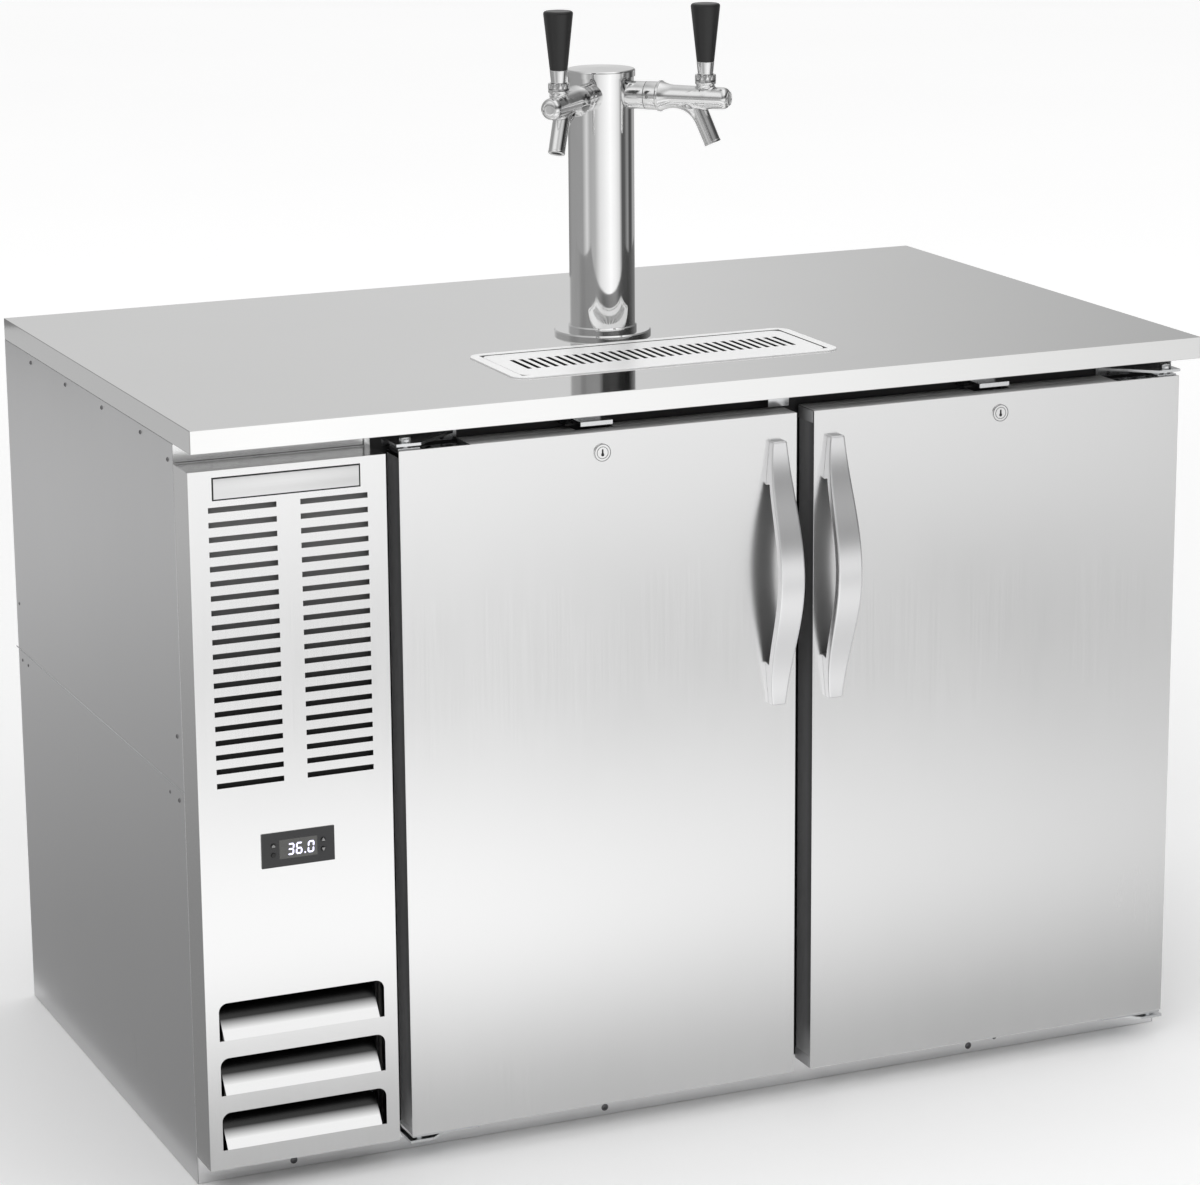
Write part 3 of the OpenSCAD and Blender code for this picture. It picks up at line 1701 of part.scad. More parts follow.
base_frame();
left_side_panels();
right_side_panel();
rear_panel();
foam_body();
liner();
front_frame();
worktop();
front_panel();
controller_case();
controller_lens();
button_set();
button_light();
button_up();
button_down();
compressor();
condenser_coil();
condenser_shroud();
fan_motors();
condenser_fan();
evaporator_housing();
evaporator_coil();
evaporator_fan();
cord_gland();
hinge_brackets();
lock_strikes();
tower_flange();
tower_column();
tower_cap();
shanks();
coupling_collars();
left_faucet_body();
right_faucet_body();
bonnets();
left_lever();
right_lever();
left_grip();
right_grip();
left_valve_shaft();
right_valve_shaft();
beer_tubes();
drip_pan();
drip_grille();
door_at(0) door_shell();  // left_door_shell
door_at(1) door_shell();  // right_door_shell
door_at(0) door_core();  // left_door_core
door_at(1) door_core();  // right_door_core
door_at(0) door_trims();  // left_door_trims
door_at(1) door_trims();  // right_door_trims
door_at(0) gasket();  // left_gasket
door_at(1) gasket();  // right_gasket
door_at(0) handle();  // left_handle
door_at(1) handle();  // right_handle
door_at(0) door_lock();  // left_lock
door_at(1) door_lock();  // right_lock
door_at(0) lock_plug();  // left_lock_plug
door_at(1) lock_plug();  // right_lock_plug
door_at(0) hinge_leaves();  // left_hinge_leaves
door_at(1) hinge_leaves();  // right_hinge_leaves
fasteners();
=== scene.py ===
import math

import bmesh
import bpy
import numpy as np
from mathutils import Matrix, Vector


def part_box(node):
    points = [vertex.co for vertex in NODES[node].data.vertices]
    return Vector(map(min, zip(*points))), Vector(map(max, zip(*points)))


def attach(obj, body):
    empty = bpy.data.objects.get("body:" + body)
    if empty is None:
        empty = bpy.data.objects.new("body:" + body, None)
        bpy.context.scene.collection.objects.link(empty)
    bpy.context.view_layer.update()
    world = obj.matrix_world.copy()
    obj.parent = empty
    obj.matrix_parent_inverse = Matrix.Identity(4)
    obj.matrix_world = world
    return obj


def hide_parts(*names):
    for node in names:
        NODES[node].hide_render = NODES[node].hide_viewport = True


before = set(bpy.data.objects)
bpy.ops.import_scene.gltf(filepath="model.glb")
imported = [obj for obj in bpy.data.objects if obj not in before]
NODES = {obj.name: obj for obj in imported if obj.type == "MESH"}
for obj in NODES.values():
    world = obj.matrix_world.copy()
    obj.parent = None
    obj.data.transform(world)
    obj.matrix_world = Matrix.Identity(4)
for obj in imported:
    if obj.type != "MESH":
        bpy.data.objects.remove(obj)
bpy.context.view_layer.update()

MM = 0.001
SAME_PLACE = 0.000002


# Materials

def material(name, shader="ShaderNodeBsdfPrincipled"):
    mat = bpy.data.materials.new(name)
    mat.use_nodes = True
    tree = mat.node_tree
    tree.nodes.clear()
    out = tree.nodes.new("ShaderNodeOutputMaterial")
    surface = tree.nodes.new(shader)
    tree.links.new(surface.outputs[0], out.inputs["Surface"])
    return mat, tree, surface


def grey(tone):
    return (tone, tone, tone)


def noise(tree, scale, detail=3.0, rough=0.55, size=1.0):
    """A noise field in object space, stretched by scale = repeats per metre along X, Y and Z."""
    coord = tree.nodes.new("ShaderNodeTexCoord")
    mapping = tree.nodes.new("ShaderNodeMapping")
    mapping.inputs["Scale"].default_value = scale
    tex = tree.nodes.new("ShaderNodeTexNoise")
    tex.inputs["Scale"].default_value = size
    tex.inputs["Detail"].default_value = detail
    tex.inputs["Roughness"].default_value = rough
    tree.links.new(coord.outputs["Object"], mapping.inputs["Vector"])
    tree.links.new(mapping.outputs["Vector"], tex.inputs["Vector"])
    return tex.outputs["Fac"]


def remap(tree, value, low, high, start=0.3, end=0.7):
    node = tree.nodes.new("ShaderNodeMapRange")
    node.inputs["From Min"].default_value = start
    node.inputs["From Max"].default_value = end
    node.inputs["To Min"].default_value = low
    node.inputs["To Max"].default_value = high
    tree.links.new(value, node.inputs["Value"])
    return node.outputs["Result"]


def combine(tree, operation, a, b):
    node = tree.nodes.new("ShaderNodeMath")
    node.operation = operation
    tree.links.new(a, node.inputs[0])
    tree.links.new(b, node.inputs[1])
    return node.outputs[0]


def add(tree, a, b):
    return combine(tree, "ADD", a, b)


def mix_node(tree, factor):
    node = tree.nodes.new("ShaderNodeMix")
    node.data_type = "RGBA"
    tree.links.new(factor, node.inputs["Factor"])
    return node


def mix_color(tree, factor, dark, light):
    node = mix_node(tree, factor)
    node.inputs["A"].default_value = (*dark, 1)
    node.inputs["B"].default_value = (*light, 1)
    return node.outputs["Result"]


def mix_sockets(tree, factor, a, b):
    node = mix_node(tree, factor)
    tree.links.new(a, node.inputs["A"])
    tree.links.new(b, node.inputs["B"])
    return node.outputs["Result"]


def bump(tree, bsdf, height, strength, distance):
    node = tree.nodes.new("ShaderNodeBump")
    node.inputs["Strength"].default_value = strength
    node.inputs["Distance"].default_value = distance
    tree.links.new(height, node.inputs["Height"])
    tree.links.new(node.outputs["Normal"], bsdf.inputs["Normal"])


def brushed(name, dark, light, rough, grain, grain_amount=0.015, smudge=0.02, relief=0.01,
            metallic=1.0):
    """Brushed sheet metal: fine grain along one axis, soft cloudy patches in tone and roughness."""
    mat, tree, bsdf = material(name)
    fine = noise(tree, grain, detail=2.0)
    cloud = noise(tree, (2.6, 2.6, 2.2), detail=4.0)
    tone = add(tree, remap(tree, fine, 0.0, 0.3), remap(tree, cloud, 0.0, 0.7))
    tree.links.new(mix_color(tree, tone, dark, light), bsdf.inputs["Base Color"])
    roughness = add(tree, remap(tree, fine, rough - grain_amount, rough + grain_amount),
                    remap(tree, cloud, -smudge, smudge))
    tree.links.new(roughness, bsdf.inputs["Roughness"])
    bsdf.inputs["Metallic"].default_value = metallic
    bump(tree, bsdf, fine, relief, 0.0001)
    return mat


def cast_metal(name, dark, light, rough):
    """Satin casting: a very fine, even grain."""
    mat, tree, bsdf = material(name)
    fine = noise(tree, (1500, 1500, 60), detail=2.0)
    tree.links.new(mix_color(tree, fine, dark, light), bsdf.inputs["Base Color"])
    tree.links.new(remap(tree, fine, rough - 0.008, rough + 0.008), bsdf.inputs["Roughness"])
    bsdf.inputs["Metallic"].default_value = 1.0
    return mat


def along(tree, axis, near, far):
    """0 to 1 between two places along an axis of the shared frame, in millimetres.

    With the word face before the axis, it goes by the way a face looks.
    """
    coord = tree.nodes.new("ShaderNodeTexCoord")
    split = tree.nodes.new("ShaderNodeSeparateXYZ")
    faces = axis.startswith("face")
    tree.links.new(coord.outputs["Normal" if faces else "Object"], split.inputs["Vector"])
    size = 1.0 if faces else MM
    return remap(tree, split.outputs[axis[-1]], 0.0, 1.0, start=near * size, end=far * size)


def painted_shade(mat, color, *masks):
    """The same surface with painted shade, another tone laid over it where all the masks are 1."""
    tree = mat.node_tree
    bsdf = [n for n in tree.nodes if n.type == "BSDF_PRINCIPLED"][0]
    base = bsdf.inputs["Base Color"].links[0].from_socket
    factor = along(tree, *masks[0])
    for mask in masks[1:]:
        factor = combine(tree, "MULTIPLY", factor, along(tree, *mask))
    node = mix_node(tree, factor)
    tree.links.new(base, node.inputs["A"])
    node.inputs["B"].default_value = (*color, 1)
    tree.links.new(node.outputs["Result"], bsdf.inputs["Base Color"])
    return mat


def polished(name, dark, light, rough):
    """Polished plating: near mirror with faint wipe marks."""
    mat, tree, bsdf = material(name)
    wipe = noise(tree, (60, 60, 24), detail=4.0)
    tree.links.new(mix_color(tree, wipe, dark, light), bsdf.inputs["Base Color"])
    tree.links.new(remap(tree, wipe, rough * 0.6, rough * 1.6), bsdf.inputs["Roughness"])
    bsdf.inputs["Metallic"].default_value = 1.0
    return mat


def moulded(name, dark, light, rough, grain=900.0, relief=0.12, spread=0.06):
    """Moulded plastic, rubber or paint: fine pebble grain and slight tone changes."""
    mat, tree, bsdf = material(name)
    pebble = noise(tree, (grain, grain, grain), detail=2.0)
    cloud = noise(tree, (9, 9, 9), detail=3.0)
    tree.links.new(mix_color(tree, cloud, dark, light), bsdf.inputs["Base Color"])
    tree.links.new(remap(tree, cloud, rough - spread, rough + spread), bsdf.inputs["Roughness"])
    bump(tree, bsdf, pebble, relief, 0.0002)
    return mat


def glowing(name, color, strength):
    mat, tree, bsdf = material(name)
    cell = noise(tree, (700, 700, 700), detail=1.0)
    tree.links.new(mix_color(tree, cell, tuple(c * 0.9 for c in color), color), bsdf.inputs["Base Color"])
    bsdf.inputs["Emission Color"].default_value = (*color, 1)
    bsdf.inputs["Emission Strength"].default_value = strength
    bsdf.inputs["Roughness"].default_value = 0.4
    return mat


# Grain in repeats per metre along X, Y and Z
ACROSS_Z = (900.0, 900.0, 9.0)
ACROSS_X = (9.0, 900.0, 900.0)
PLATED = (300, 300, 300)
FASTENER = (400, 400, 400)

# Faces that look to the left (-X); the darker tone laid on them is painted shade.
SHADED_LEFT_FACES = ("face X", -0.5, -0.8)
GRILLE_LOW, GRILLE_HIGH = [[v / MM for v in corner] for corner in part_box("drip_grille")]
GRILLE_TOP = GRILLE_HIGH[2]
TRAY_STEEL = (grey(0.94), grey(0.97), 0.35, ACROSS_X)

M = {
    "door": brushed("steel_door", grey(0.87), grey(0.92), 0.24, ACROSS_Z),
    # Front panel: near-black deep inside the louvres (Y -374 to -366.5 mm, within the louvre area) as painted
    # shade, and a darker tone on its left-facing faces as painted shade.
    "panel": painted_shade(
        painted_shade(brushed("steel_panel", grey(0.88), grey(0.93), 0.22, ACROSS_Z), grey(0.045),
               ("Y", -374.0, -366.5), ("X", -599.0, -598.0), ("X", -400.0, -401.0), ("Z", 270.0, 260.0)),
        grey(0.50), SHADED_LEFT_FACES),
    "base": brushed("steel_base", (0.74, 0.74, 0.745), (0.80, 0.80, 0.805), 0.30, ACROSS_X),
    # Worktop: a darker tone on its left-facing faces, painted shade.
    "top": painted_shade(brushed("steel_top", (0.89, 0.89, 0.885), (0.92, 0.92, 0.915), 0.065, ACROSS_X,
                          grain_amount=0.008, smudge=0.008), grey(0.52), SHADED_LEFT_FACES),
    # Drip grille: near-black below its top face, painted shade in its openings.
    "tray": painted_shade(brushed("steel_tray", *TRAY_STEEL, metallic=0.3), grey(0.03),
                   ("Z", GRILLE_TOP - 0.15, GRILLE_TOP - 0.4)),
    # Drip pan: near-black where it lies under the grille, painted shade.
    "pan": painted_shade(brushed("steel_pan", *TRAY_STEEL, metallic=0.3), grey(0.03),
                  ("Z", GRILLE_TOP + 1.0, GRILLE_TOP + 0.6),
                  ("X", GRILLE_LOW[0] - 1.5, GRILLE_LOW[0] - 1.4),
                  ("X", GRILLE_HIGH[0] + 1.5, GRILLE_HIGH[0] + 1.4),
                  ("Y", GRILLE_LOW[1] - 1.5, GRILLE_LOW[1] - 1.4),
                  ("Y", GRILLE_HIGH[1] + 1.5, GRILLE_HIGH[1] + 1.4)),
    "edge": moulded("steel_edge", grey(0.42), grey(0.50), 0.5, grain=300.0, relief=0.1),
    "side": brushed("steel_side", (0.535, 0.535, 0.54), (0.56, 0.56, 0.565), 0.30, ACROSS_Z, relief=0.004),
    "liner": brushed("steel_liner", (0.66, 0.67, 0.68), (0.74, 0.75, 0.76), 0.34, ACROSS_Z),
    "zinc": brushed("zinc_plate", (0.70, 0.71, 0.72), (0.84, 0.85, 0.86), 0.22, PLATED),
    "screw": brushed("screw_dark", (0.12, 0.12, 0.125), (0.20, 0.20, 0.205), 0.32, FASTENER),
    "rivet": brushed("rivet_grey", (0.20, 0.20, 0.205), (0.28, 0.28, 0.285), 0.34, FASTENER),
    "handle": cast_metal("cast_satin", (0.90, 0.90, 0.905), (0.92, 0.92, 0.925), 0.34),
    # Handles' finger-gap faces: a rougher copy of the cast metal, dark as painted shade.
    "rough": cast_metal("cast_rough_shaded", grey(0.22), grey(0.28), 0.5),
    # Hinge leaves: near-black between 700 and 809 mm up, painted shade.
    "hinge": painted_shade(brushed("hinge_plate", (0.72, 0.73, 0.74), (0.86, 0.87, 0.88), 0.22, PLATED),
                    grey(0.02), ("Z", 699.0, 700.0), ("Z", 809.6, 809.0)),
    "chrome": polished("chrome", grey(0.88), grey(0.94), 0.05),
    "satin": polished("chrome_satin", grey(0.80), grey(0.88), 0.13),
    "tube": brushed("drawn_tube", (0.66, 0.66, 0.67), (0.74, 0.74, 0.75), 0.25, ACROSS_Z),
    "fin": brushed("mill_fin", grey(0.30), grey(0.40), 0.42, ACROSS_Z),
    "black": moulded("moulded_black", (0.022, 0.022, 0.023), (0.032, 0.032, 0.034), 0.42, relief=0.04),
    "key": moulded("key_black", grey(0.007), grey(0.012), 0.45, relief=0.04),
    "grip": moulded("grip_black", grey(0.010), grey(0.018), 0.34, grain=1400.0, relief=0.04),
    # Door trims: charcoal lifted lighter at the back and near the bottom as painted light, going near-black
    # towards the front above 90 mm up as painted shade.
    "trim": painted_shade(moulded("trim_charcoal", (0.34, 0.34, 0.345), (0.46, 0.46, 0.465), 0.5, grain=500.0,
                           relief=0.3),
                   (0.085, 0.085, 0.087), ("Y", -346.0, -377.0), ("Z", 36.0, 90.0)),
    "cap": moulded("trim_cap", (0.30, 0.30, 0.305), (0.36, 0.36, 0.365), 0.45, grain=700.0),
    "frame": moulded("frame_charcoal", (0.020, 0.020, 0.021), (0.035, 0.035, 0.036), 0.6),
    "rubber": moulded("gasket_rubber", (0.022, 0.022, 0.023), (0.036, 0.036, 0.038), 0.65),
    "foam": moulded("foam_cell", (0.20, 0.195, 0.185), (0.27, 0.265, 0.25), 0.9, grain=260.0, relief=0.6),
    # Dust screens: near-black from 740 mm down to 560 mm and below, painted shade.
    "screen": painted_shade(moulded("dust_screen", grey(0.20), grey(0.26), 0.8, grain=1200.0, relief=0.5),
                     grey(0.02), ("Z", 740.0, 560.0)),
    "paint": moulded("paint_black", grey(0.012), grey(0.022), 0.38),
    "lens": moulded("display_lens", (0.075, 0.075, 0.072), (0.10, 0.10, 0.095), 0.22, relief=0.0),
    "mark": moulded("key_mark", grey(0.20), grey(0.30), 0.5),
    "digit": glowing("display_digit", (0.78, 0.76, 1.0), 0.85),
    "plate": brushed("name_plate", grey(0.84), grey(0.90), 0.30, ACROSS_X),
    "ink": moulded("plate_border", grey(0.008), grey(0.014), 0.5),
}

BY_NODE = {
    "door": ["left_door_shell", "right_door_shell"],
    "panel": ["front_panel"],
    "tray": ["drip_grille"],
    "pan": ["drip_pan"],
    "base": ["base_frame"],
    "top": ["worktop"],
    "side": ["left_side_panels", "right_side_panel", "rear_panel"],
    "liner": ["liner", "evaporator_housing", "left_door_core", "right_door_core"],
    "zinc": ["hinge_brackets", "lock_strikes"],
    "hinge": ["left_hinge_leaves", "right_hinge_leaves"],
    "screw": ["fasteners"],
    "handle": ["left_handle", "right_handle"],
    "chrome": ["tower_flange", "tower_column", "tower_cap"],
    "satin": ["shanks", "coupling_collars", "left_faucet_body", "right_faucet_body", "bonnets", "left_lever",
              "right_lever", "left_lock", "right_lock", "left_lock_plug", "right_lock_plug"],
    "tube": ["left_valve_shaft", "right_valve_shaft", "beer_tubes"],
    "fin": ["condenser_coil", "evaporator_coil", "condenser_fan", "evaporator_fan"],
    "black": ["controller_case", "cord_gland"],
    "key": ["button_set", "button_light", "button_up", "button_down"],
    "grip": ["left_grip", "right_grip"],
    "trim": ["left_door_trims", "right_door_trims"],
    "frame": ["front_frame"],
    "rubber": ["left_gasket", "right_gasket"],
    "foam": ["foam_body"],
    "paint": ["compressor", "fan_motors", "condenser_shroud"],
    "lens": ["controller_lens"],
}
for key, names in BY_NODE.items():
    for name in names:
        obj = NODES[name]
        obj.data.materials.clear()
        obj.data.materials.append(M[key])


# Rounded edges on the sheet-metal pieces and the controller's case

def geometry_group(name):
    tree = bpy.data.node_groups.new(name, "GeometryNodeTree")
    for way in ("INPUT", "OUTPUT"):
        tree.interface.new_socket("Geometry", in_out=way, socket_type="NodeSocketGeometry")
    return tree, tree.nodes.new("NodeGroupInput"), tree.nodes.new("NodeGroupOutput")


def seam_group():
    """Joins the face islands of a piece, so that its edges can be rounded."""
    tree, start, end = geometry_group("join_faces")
    drop = tree.nodes.new("GeometryNodeRemoveAttribute")
    drop.inputs["Name"].default_value = "custom_normal"
    merge = tree.nodes.new("GeometryNodeMergeByDistance")
    merge.inputs["Distance"].default_value = SAME_PLACE
    tree.links.new(start.outputs[0], drop.inputs["Geometry"])
    tree.links.new(drop.outputs["Geometry"], merge.inputs["Geometry"])
    tree.links.new(merge.outputs["Geometry"], end.inputs[0])
    return tree


def shade_group(angle):
    """Smooth shading, with the edges sharper than the angle kept crisp."""
    tree, start, end = geometry_group("shade_by_angle")
    faces = tree.nodes.new("GeometryNodeSetShadeSmooth")
    faces.domain = "FACE"
    edges = tree.nodes.new("GeometryNodeSetShadeSmooth")
    edges.domain = "EDGE"
    edges.inputs["Shade Smooth"].default_value = False
    measure = tree.nodes.new("GeometryNodeInputMeshEdgeAngle")
    compare = tree.nodes.new("FunctionNodeCompare")
    compare.data_type = "FLOAT"
    compare.operation = "GREATER_THAN"
    compare.inputs["B"].default_value = math.radians(angle)
    tree.links.new(measure.outputs["Unsigned Angle"], compare.inputs["A"])
    tree.links.new(compare.outputs["Result"], edges.inputs["Selection"])
    tree.links.new(start.outputs[0], faces.inputs["Geometry"])
    tree.links.new(faces.outputs["Geometry"], edges.inputs["Geometry"])
    tree.links.new(edges.outputs["Geometry"], end.inputs[0])
    return tree


JOIN = seam_group()
SHADE = shade_group(32.0)


def round_edges(name, width, segments=3, angle=38.0):
    obj = NODES[name]
    first = obj.modifiers.new("join", "NODES")
    first.node_group = JOIN
    flat = obj.modifiers.new("flat", "DECIMATE")
    flat.decimate_type = "DISSOLVE"
    flat.angle_limit = math.radians(0.4)
    bevel = obj.modifiers.new("round", "BEVEL")
    bevel.width = width * MM
    bevel.segments = segments
    bevel.limit_method = "ANGLE"
    bevel.angle_limit = math.radians(angle)
    bevel.use_clamp_overlap = True
    last = obj.modifiers.new("shade", "NODES")
    last.node_group = SHADE
    even = obj.modifiers.new("even", "WEIGHTED_NORMAL")
    even.mode = "FACE_AREA"
    even.weight = 100
    even.keep_sharp = True


for name in ("left_door_shell", "right_door_shell"):
    round_edges(name, 0.9)
round_edges("worktop", 1.0)
for name in ("left_side_panels", "right_side_panel", "base_frame"):
    round_edges(name, 0.5, segments=2)
round_edges("drip_pan", 0.6)
round_edges("controller_case", 0.5, segments=2)


# Mesh helpers. Measures are millimetres, places go through a matrix into the shared frame.

def piece(name, verts, faces, mat, body, matrix=None, normals=None, sharp=35.0):
    mesh = bpy.data.meshes.new(name)
    place = matrix or Matrix.Identity(4)
    points = [place @ (Vector(v) * MM) for v in verts]
    mesh.from_pydata(points, [], [tuple(f) for f in faces])
    mesh.update()
    bm = bmesh.new()
    bm.from_mesh(mesh)
    if normals is None:
        bmesh.ops.remove_doubles(bm, verts=bm.verts, dist=SAME_PLACE)
        bmesh.ops.recalc_face_normals(bm, faces=bm.faces)
    bm.to_mesh(mesh)
    bm.free()
    mesh.shade_smooth()
    if normals is None:
        mesh.set_sharp_from_angle(angle=math.radians(sharp))
    else:
        turn = place.to_3x3()
        mesh.normals_split_custom_set_from_vertices([turn @ Vector(n) for n in normals])
    mesh.materials.append(M[mat])
    obj = bpy.data.objects.new(name, mesh)
    bpy.context.scene.collection.objects.link(obj)
    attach(obj, body)
    return obj


def turned(profile, segments=72):
    """Rings of a body of revolution about Z from (radius, height) points."""
    verts, faces = [], []
    for r, h in profile:
        for k in range(segments):
            a = 2 * math.pi * k / segments
            verts.append((r * math.cos(a), r * math.sin(a), h))
    for i in range(len(profile) - 1):
        for k in range(segments):
            n = (k + 1) % segments
            faces.append((i * segments + k, i * segments + n, (i + 1) * segments + n, (i + 1) * segments + k))
    return verts, faces


def arc(centre, radius, start, end, steps=6):
    """Profile points on an arc, angles in degrees from the radius axis."""
    angles = [math.radians(start + (end - start) * i / steps) for i in range(steps + 1)]
    return [(centre[0] + radius * math.cos(a), centre[1] + radius * math.sin(a)) for a in angles]


def wire(radius, height, half):
    """A thin round ring about Z, as a joint line."""
    return turned(arc((radius, height), half, 0, 360, 8))


def slab(low, high, round_by, segments=3):
    """A box with rounded edges, given by two corners."""
    bm = bmesh.new()
    bmesh.ops.create_cube(bm, size=1.0)
    size = [h - l for l, h in zip(low, high)]
    for v in bm.verts:
        v.co = Vector([low[i] + (v.co[i] + 0.5) * size[i] for i in range(3)])
    bmesh.ops.bevel(bm, geom=list(bm.edges), offset=round_by, segments=segments, profile=0.5, affect="EDGES")
    verts = [tuple(v.co) for v in bm.verts]
    bm.verts.index_update()
    faces = [tuple(v.index for v in f.verts) for f in bm.faces]
    bm.free()
    return verts, faces


def joined(parts):
    verts, faces = [], []
    for v, f in parts:
        base = len(verts)
        verts += list(v)
        faces += [tuple(i + base for i in face) for face in f]
    return verts, faces


def moved(part, matrix):
    verts, faces = part
    return [tuple(matrix @ Vector(v)) for v in verts], faces


def prism(outline, y0, y1):
    """A flat outline of (x, z) points made solid between two depths."""
    n = len(outline)
    verts = [(x, y0, z) for x, z in outline] + [(x, y1, z) for x, z in outline]
    faces = [tuple(range(n)), tuple(range(2 * n - 1, n - 1, -1))]
    faces += [(i, i + n, (i + 1) % n + n, (i + 1) % n) for i in range(n)]
    return verts, faces


# Faucet bodies: one blended surface for barrel, bonnet seat and spout

NET_STEP = 0.8
PULLS, PULL_MOST = 10, 0.6


def surface_net(field, low, high, step=NET_STEP):
    """Quads round the zero level of a field, drawn onto it, with its normals."""
    count = [int(math.ceil((h - l) / step)) + 1 for l, h in zip(low, high)]
    axes = [l + step * np.arange(c) for l, c in zip(low, count)]
    grid = np.stack(np.meshgrid(*axes, indexing="ij"), axis=-1).reshape(-1, 3)
    inside = (field(grid) < 0).reshape(count)
    total = sum(inside[i:count[0] - 1 + i, j:count[1] - 1 + j, k:count[2] - 1 + k].astype(int)
                for i in (0, 1) for j in (0, 1) for k in (0, 1))
    mixed = (total > 0) & (total < 8)
    index = -np.ones(mixed.shape, int)
    index[mixed] = np.arange(mixed.sum())
    points = (np.argwhere(mixed) + 0.5) * step + np.array(low)
    faces = []
    for a in range(3):
        b, c = (a + 1) % 3, (a + 2) % 3
        first = np.take(inside, range(count[a] - 1), axis=a)
        second = np.take(inside, range(1, count[a]), axis=a)
        cells = np.argwhere(first != second)
        inner = (cells[:, b] > 0) & (cells[:, c] > 0)
        inner &= (cells[:, b] < count[b] - 1) & (cells[:, c] < count[c] - 1)
        cells = cells[inner]
        ring = []
        for db, dc in ((1, 1), (0, 1), (0, 0), (1, 0)):
            near = cells.copy()
            near[:, b] -= db
            near[:, c] -= dc
            ring.append(index[near[:, 0], near[:, 1], near[:, 2]])
        quad = np.stack(ring, axis=1)
        outward = first[cells[:, 0], cells[:, 1], cells[:, 2]]
        quad[~outward] = quad[~outward][:, ::-1]
        faces.append(quad)
    for _ in range(PULLS):
        value = field(points)
        slope = gradient(field, points)
        size = np.maximum((slope ** 2).sum(axis=1), 0.05)
        points = points - np.clip(value / size, -PULL_MOST, PULL_MOST)[:, None] * slope
    slope = gradient(field, points)
    slope /= np.maximum(np.linalg.norm(slope, axis=1), 1e-6)[:, None]
    return points, np.concatenate(faces), slope


def gradient(field, points, reach=0.05):
    slope = np.zeros_like(points)
    for a in range(3):
        d = np.zeros(3)
        d[a] = reach
        slope[:, a] = (field(points + d) - field(points - d)) / (2 * reach)
    return slope


def blend(a, b, k):
    h = np.maximum(k - np.abs(a - b), 0.0) / k
    return np.minimum(a, b) - h * h * k / 4


def rod(p, start, way, radius, length):
    """Distance to a round rod with flat ends."""
    down = (p - np.array(start)) @ np.array(way)
    off = np.linalg.norm(p - np.array(start) - down[:, None] * np.array(way), axis=1)
    return np.maximum(off - radius, np.maximum(-down, down - length))


# Stations along a tap's barrel, from the column's axis
COLLAR_X, BODY_X, BODY_END = 57.0, 71.6, 157.1
BONNET_X, BOSS_Z, PIVOT_Z = 128.1, 14.0, 15.0
FLARE_X, FLARE_L, FLARE_R = 74.6, 16.0, 3.9
BARREL_R0, BARREL_R1, BARREL_L = 13.5, 12.4, 80.0
SPOUT_LEAN, SPOUT_L = math.radians(66), 62.0
SPOUT_TIP = (136.7, 0.0, -51.0)
SPOUT_WAY = (math.cos(SPOUT_LEAN), 0.0, -math.sin(SPOUT_LEAN))
SPOUT_BACK = (-math.sin(SPOUT_LEAN), 0.0, -math.cos(SPOUT_LEAN))
WEB_L, WEB_TOP = 8.0, 4.0
AHEAD, UP = (1.0, 0.0, 0.0), (0.0, 0.0, 1.0)
ALONG_X = Matrix.Rotation(math.pi / 2, 4, "Y")
TAPS_AT = (0, -0.065, 1.1376)
TAPS = ((-1, "left"), (1, "right"))


def tap_place(side):
    """The frame of a tap: X along its barrel from the column's axis, Z up."""
    return Matrix.Translation(TAPS_AT) @ Matrix.Rotation(math.radians(-90 + 45 * side), 4, "Z")


def faucet_field(p):
    x = p[:, 0]
    r = np.hypot(p[:, 1], p[:, 2])
    flare = np.clip(1.0 - (x - FLARE_X) / FLARE_L, 0.0, 1.0)
    radius = BARREL_R0 + (BARREL_R1 - BARREL_R0) * (x - FLARE_X) / BARREL_L + FLARE_R * flare * flare
    barrel = -blend(-np.maximum(r - radius, (BODY_X + 0.6) - x), -(x - BODY_END), 9.0)
    start = [SPOUT_TIP[i] - SPOUT_L * SPOUT_WAY[i] for i in range(3)]
    down = (p - np.array(start)) @ np.array(SPOUT_WAY)
    spout = rod(p, start, SPOUT_WAY, 9.9 - 0.5 * np.clip(down / SPOUT_L, 0, 1), SPOUT_L - 1.0)
    web = np.clip((p - np.array(SPOUT_TIP)) @ np.array(SPOUT_BACK) / WEB_L, 0.0, 1.0)
    web = web * np.clip((-p[:, 2] - WEB_TOP) / WEB_L, 0.0, 1.0)
    neck = rod(p, (BONNET_X, 0.0, 0.0), UP, 10.4, BOSS_Z)
    solid = blend(blend(barrel, spout, 2.5 + 16.0 * web * web * (3 - 2 * web)), neck, 2.5)
    chamber = rod(p, (80.1, 0.0, 0.0), AHEAD, 7.0, 60.0)
    socket = rod(p, (BONNET_X, 0.0, 0.0), UP, 7.6, 30.0)
    way = rod(p, start, SPOUT_WAY, 6.4, 80.0)
    return np.maximum(solid, -np.minimum(np.minimum(chamber, socket), way))


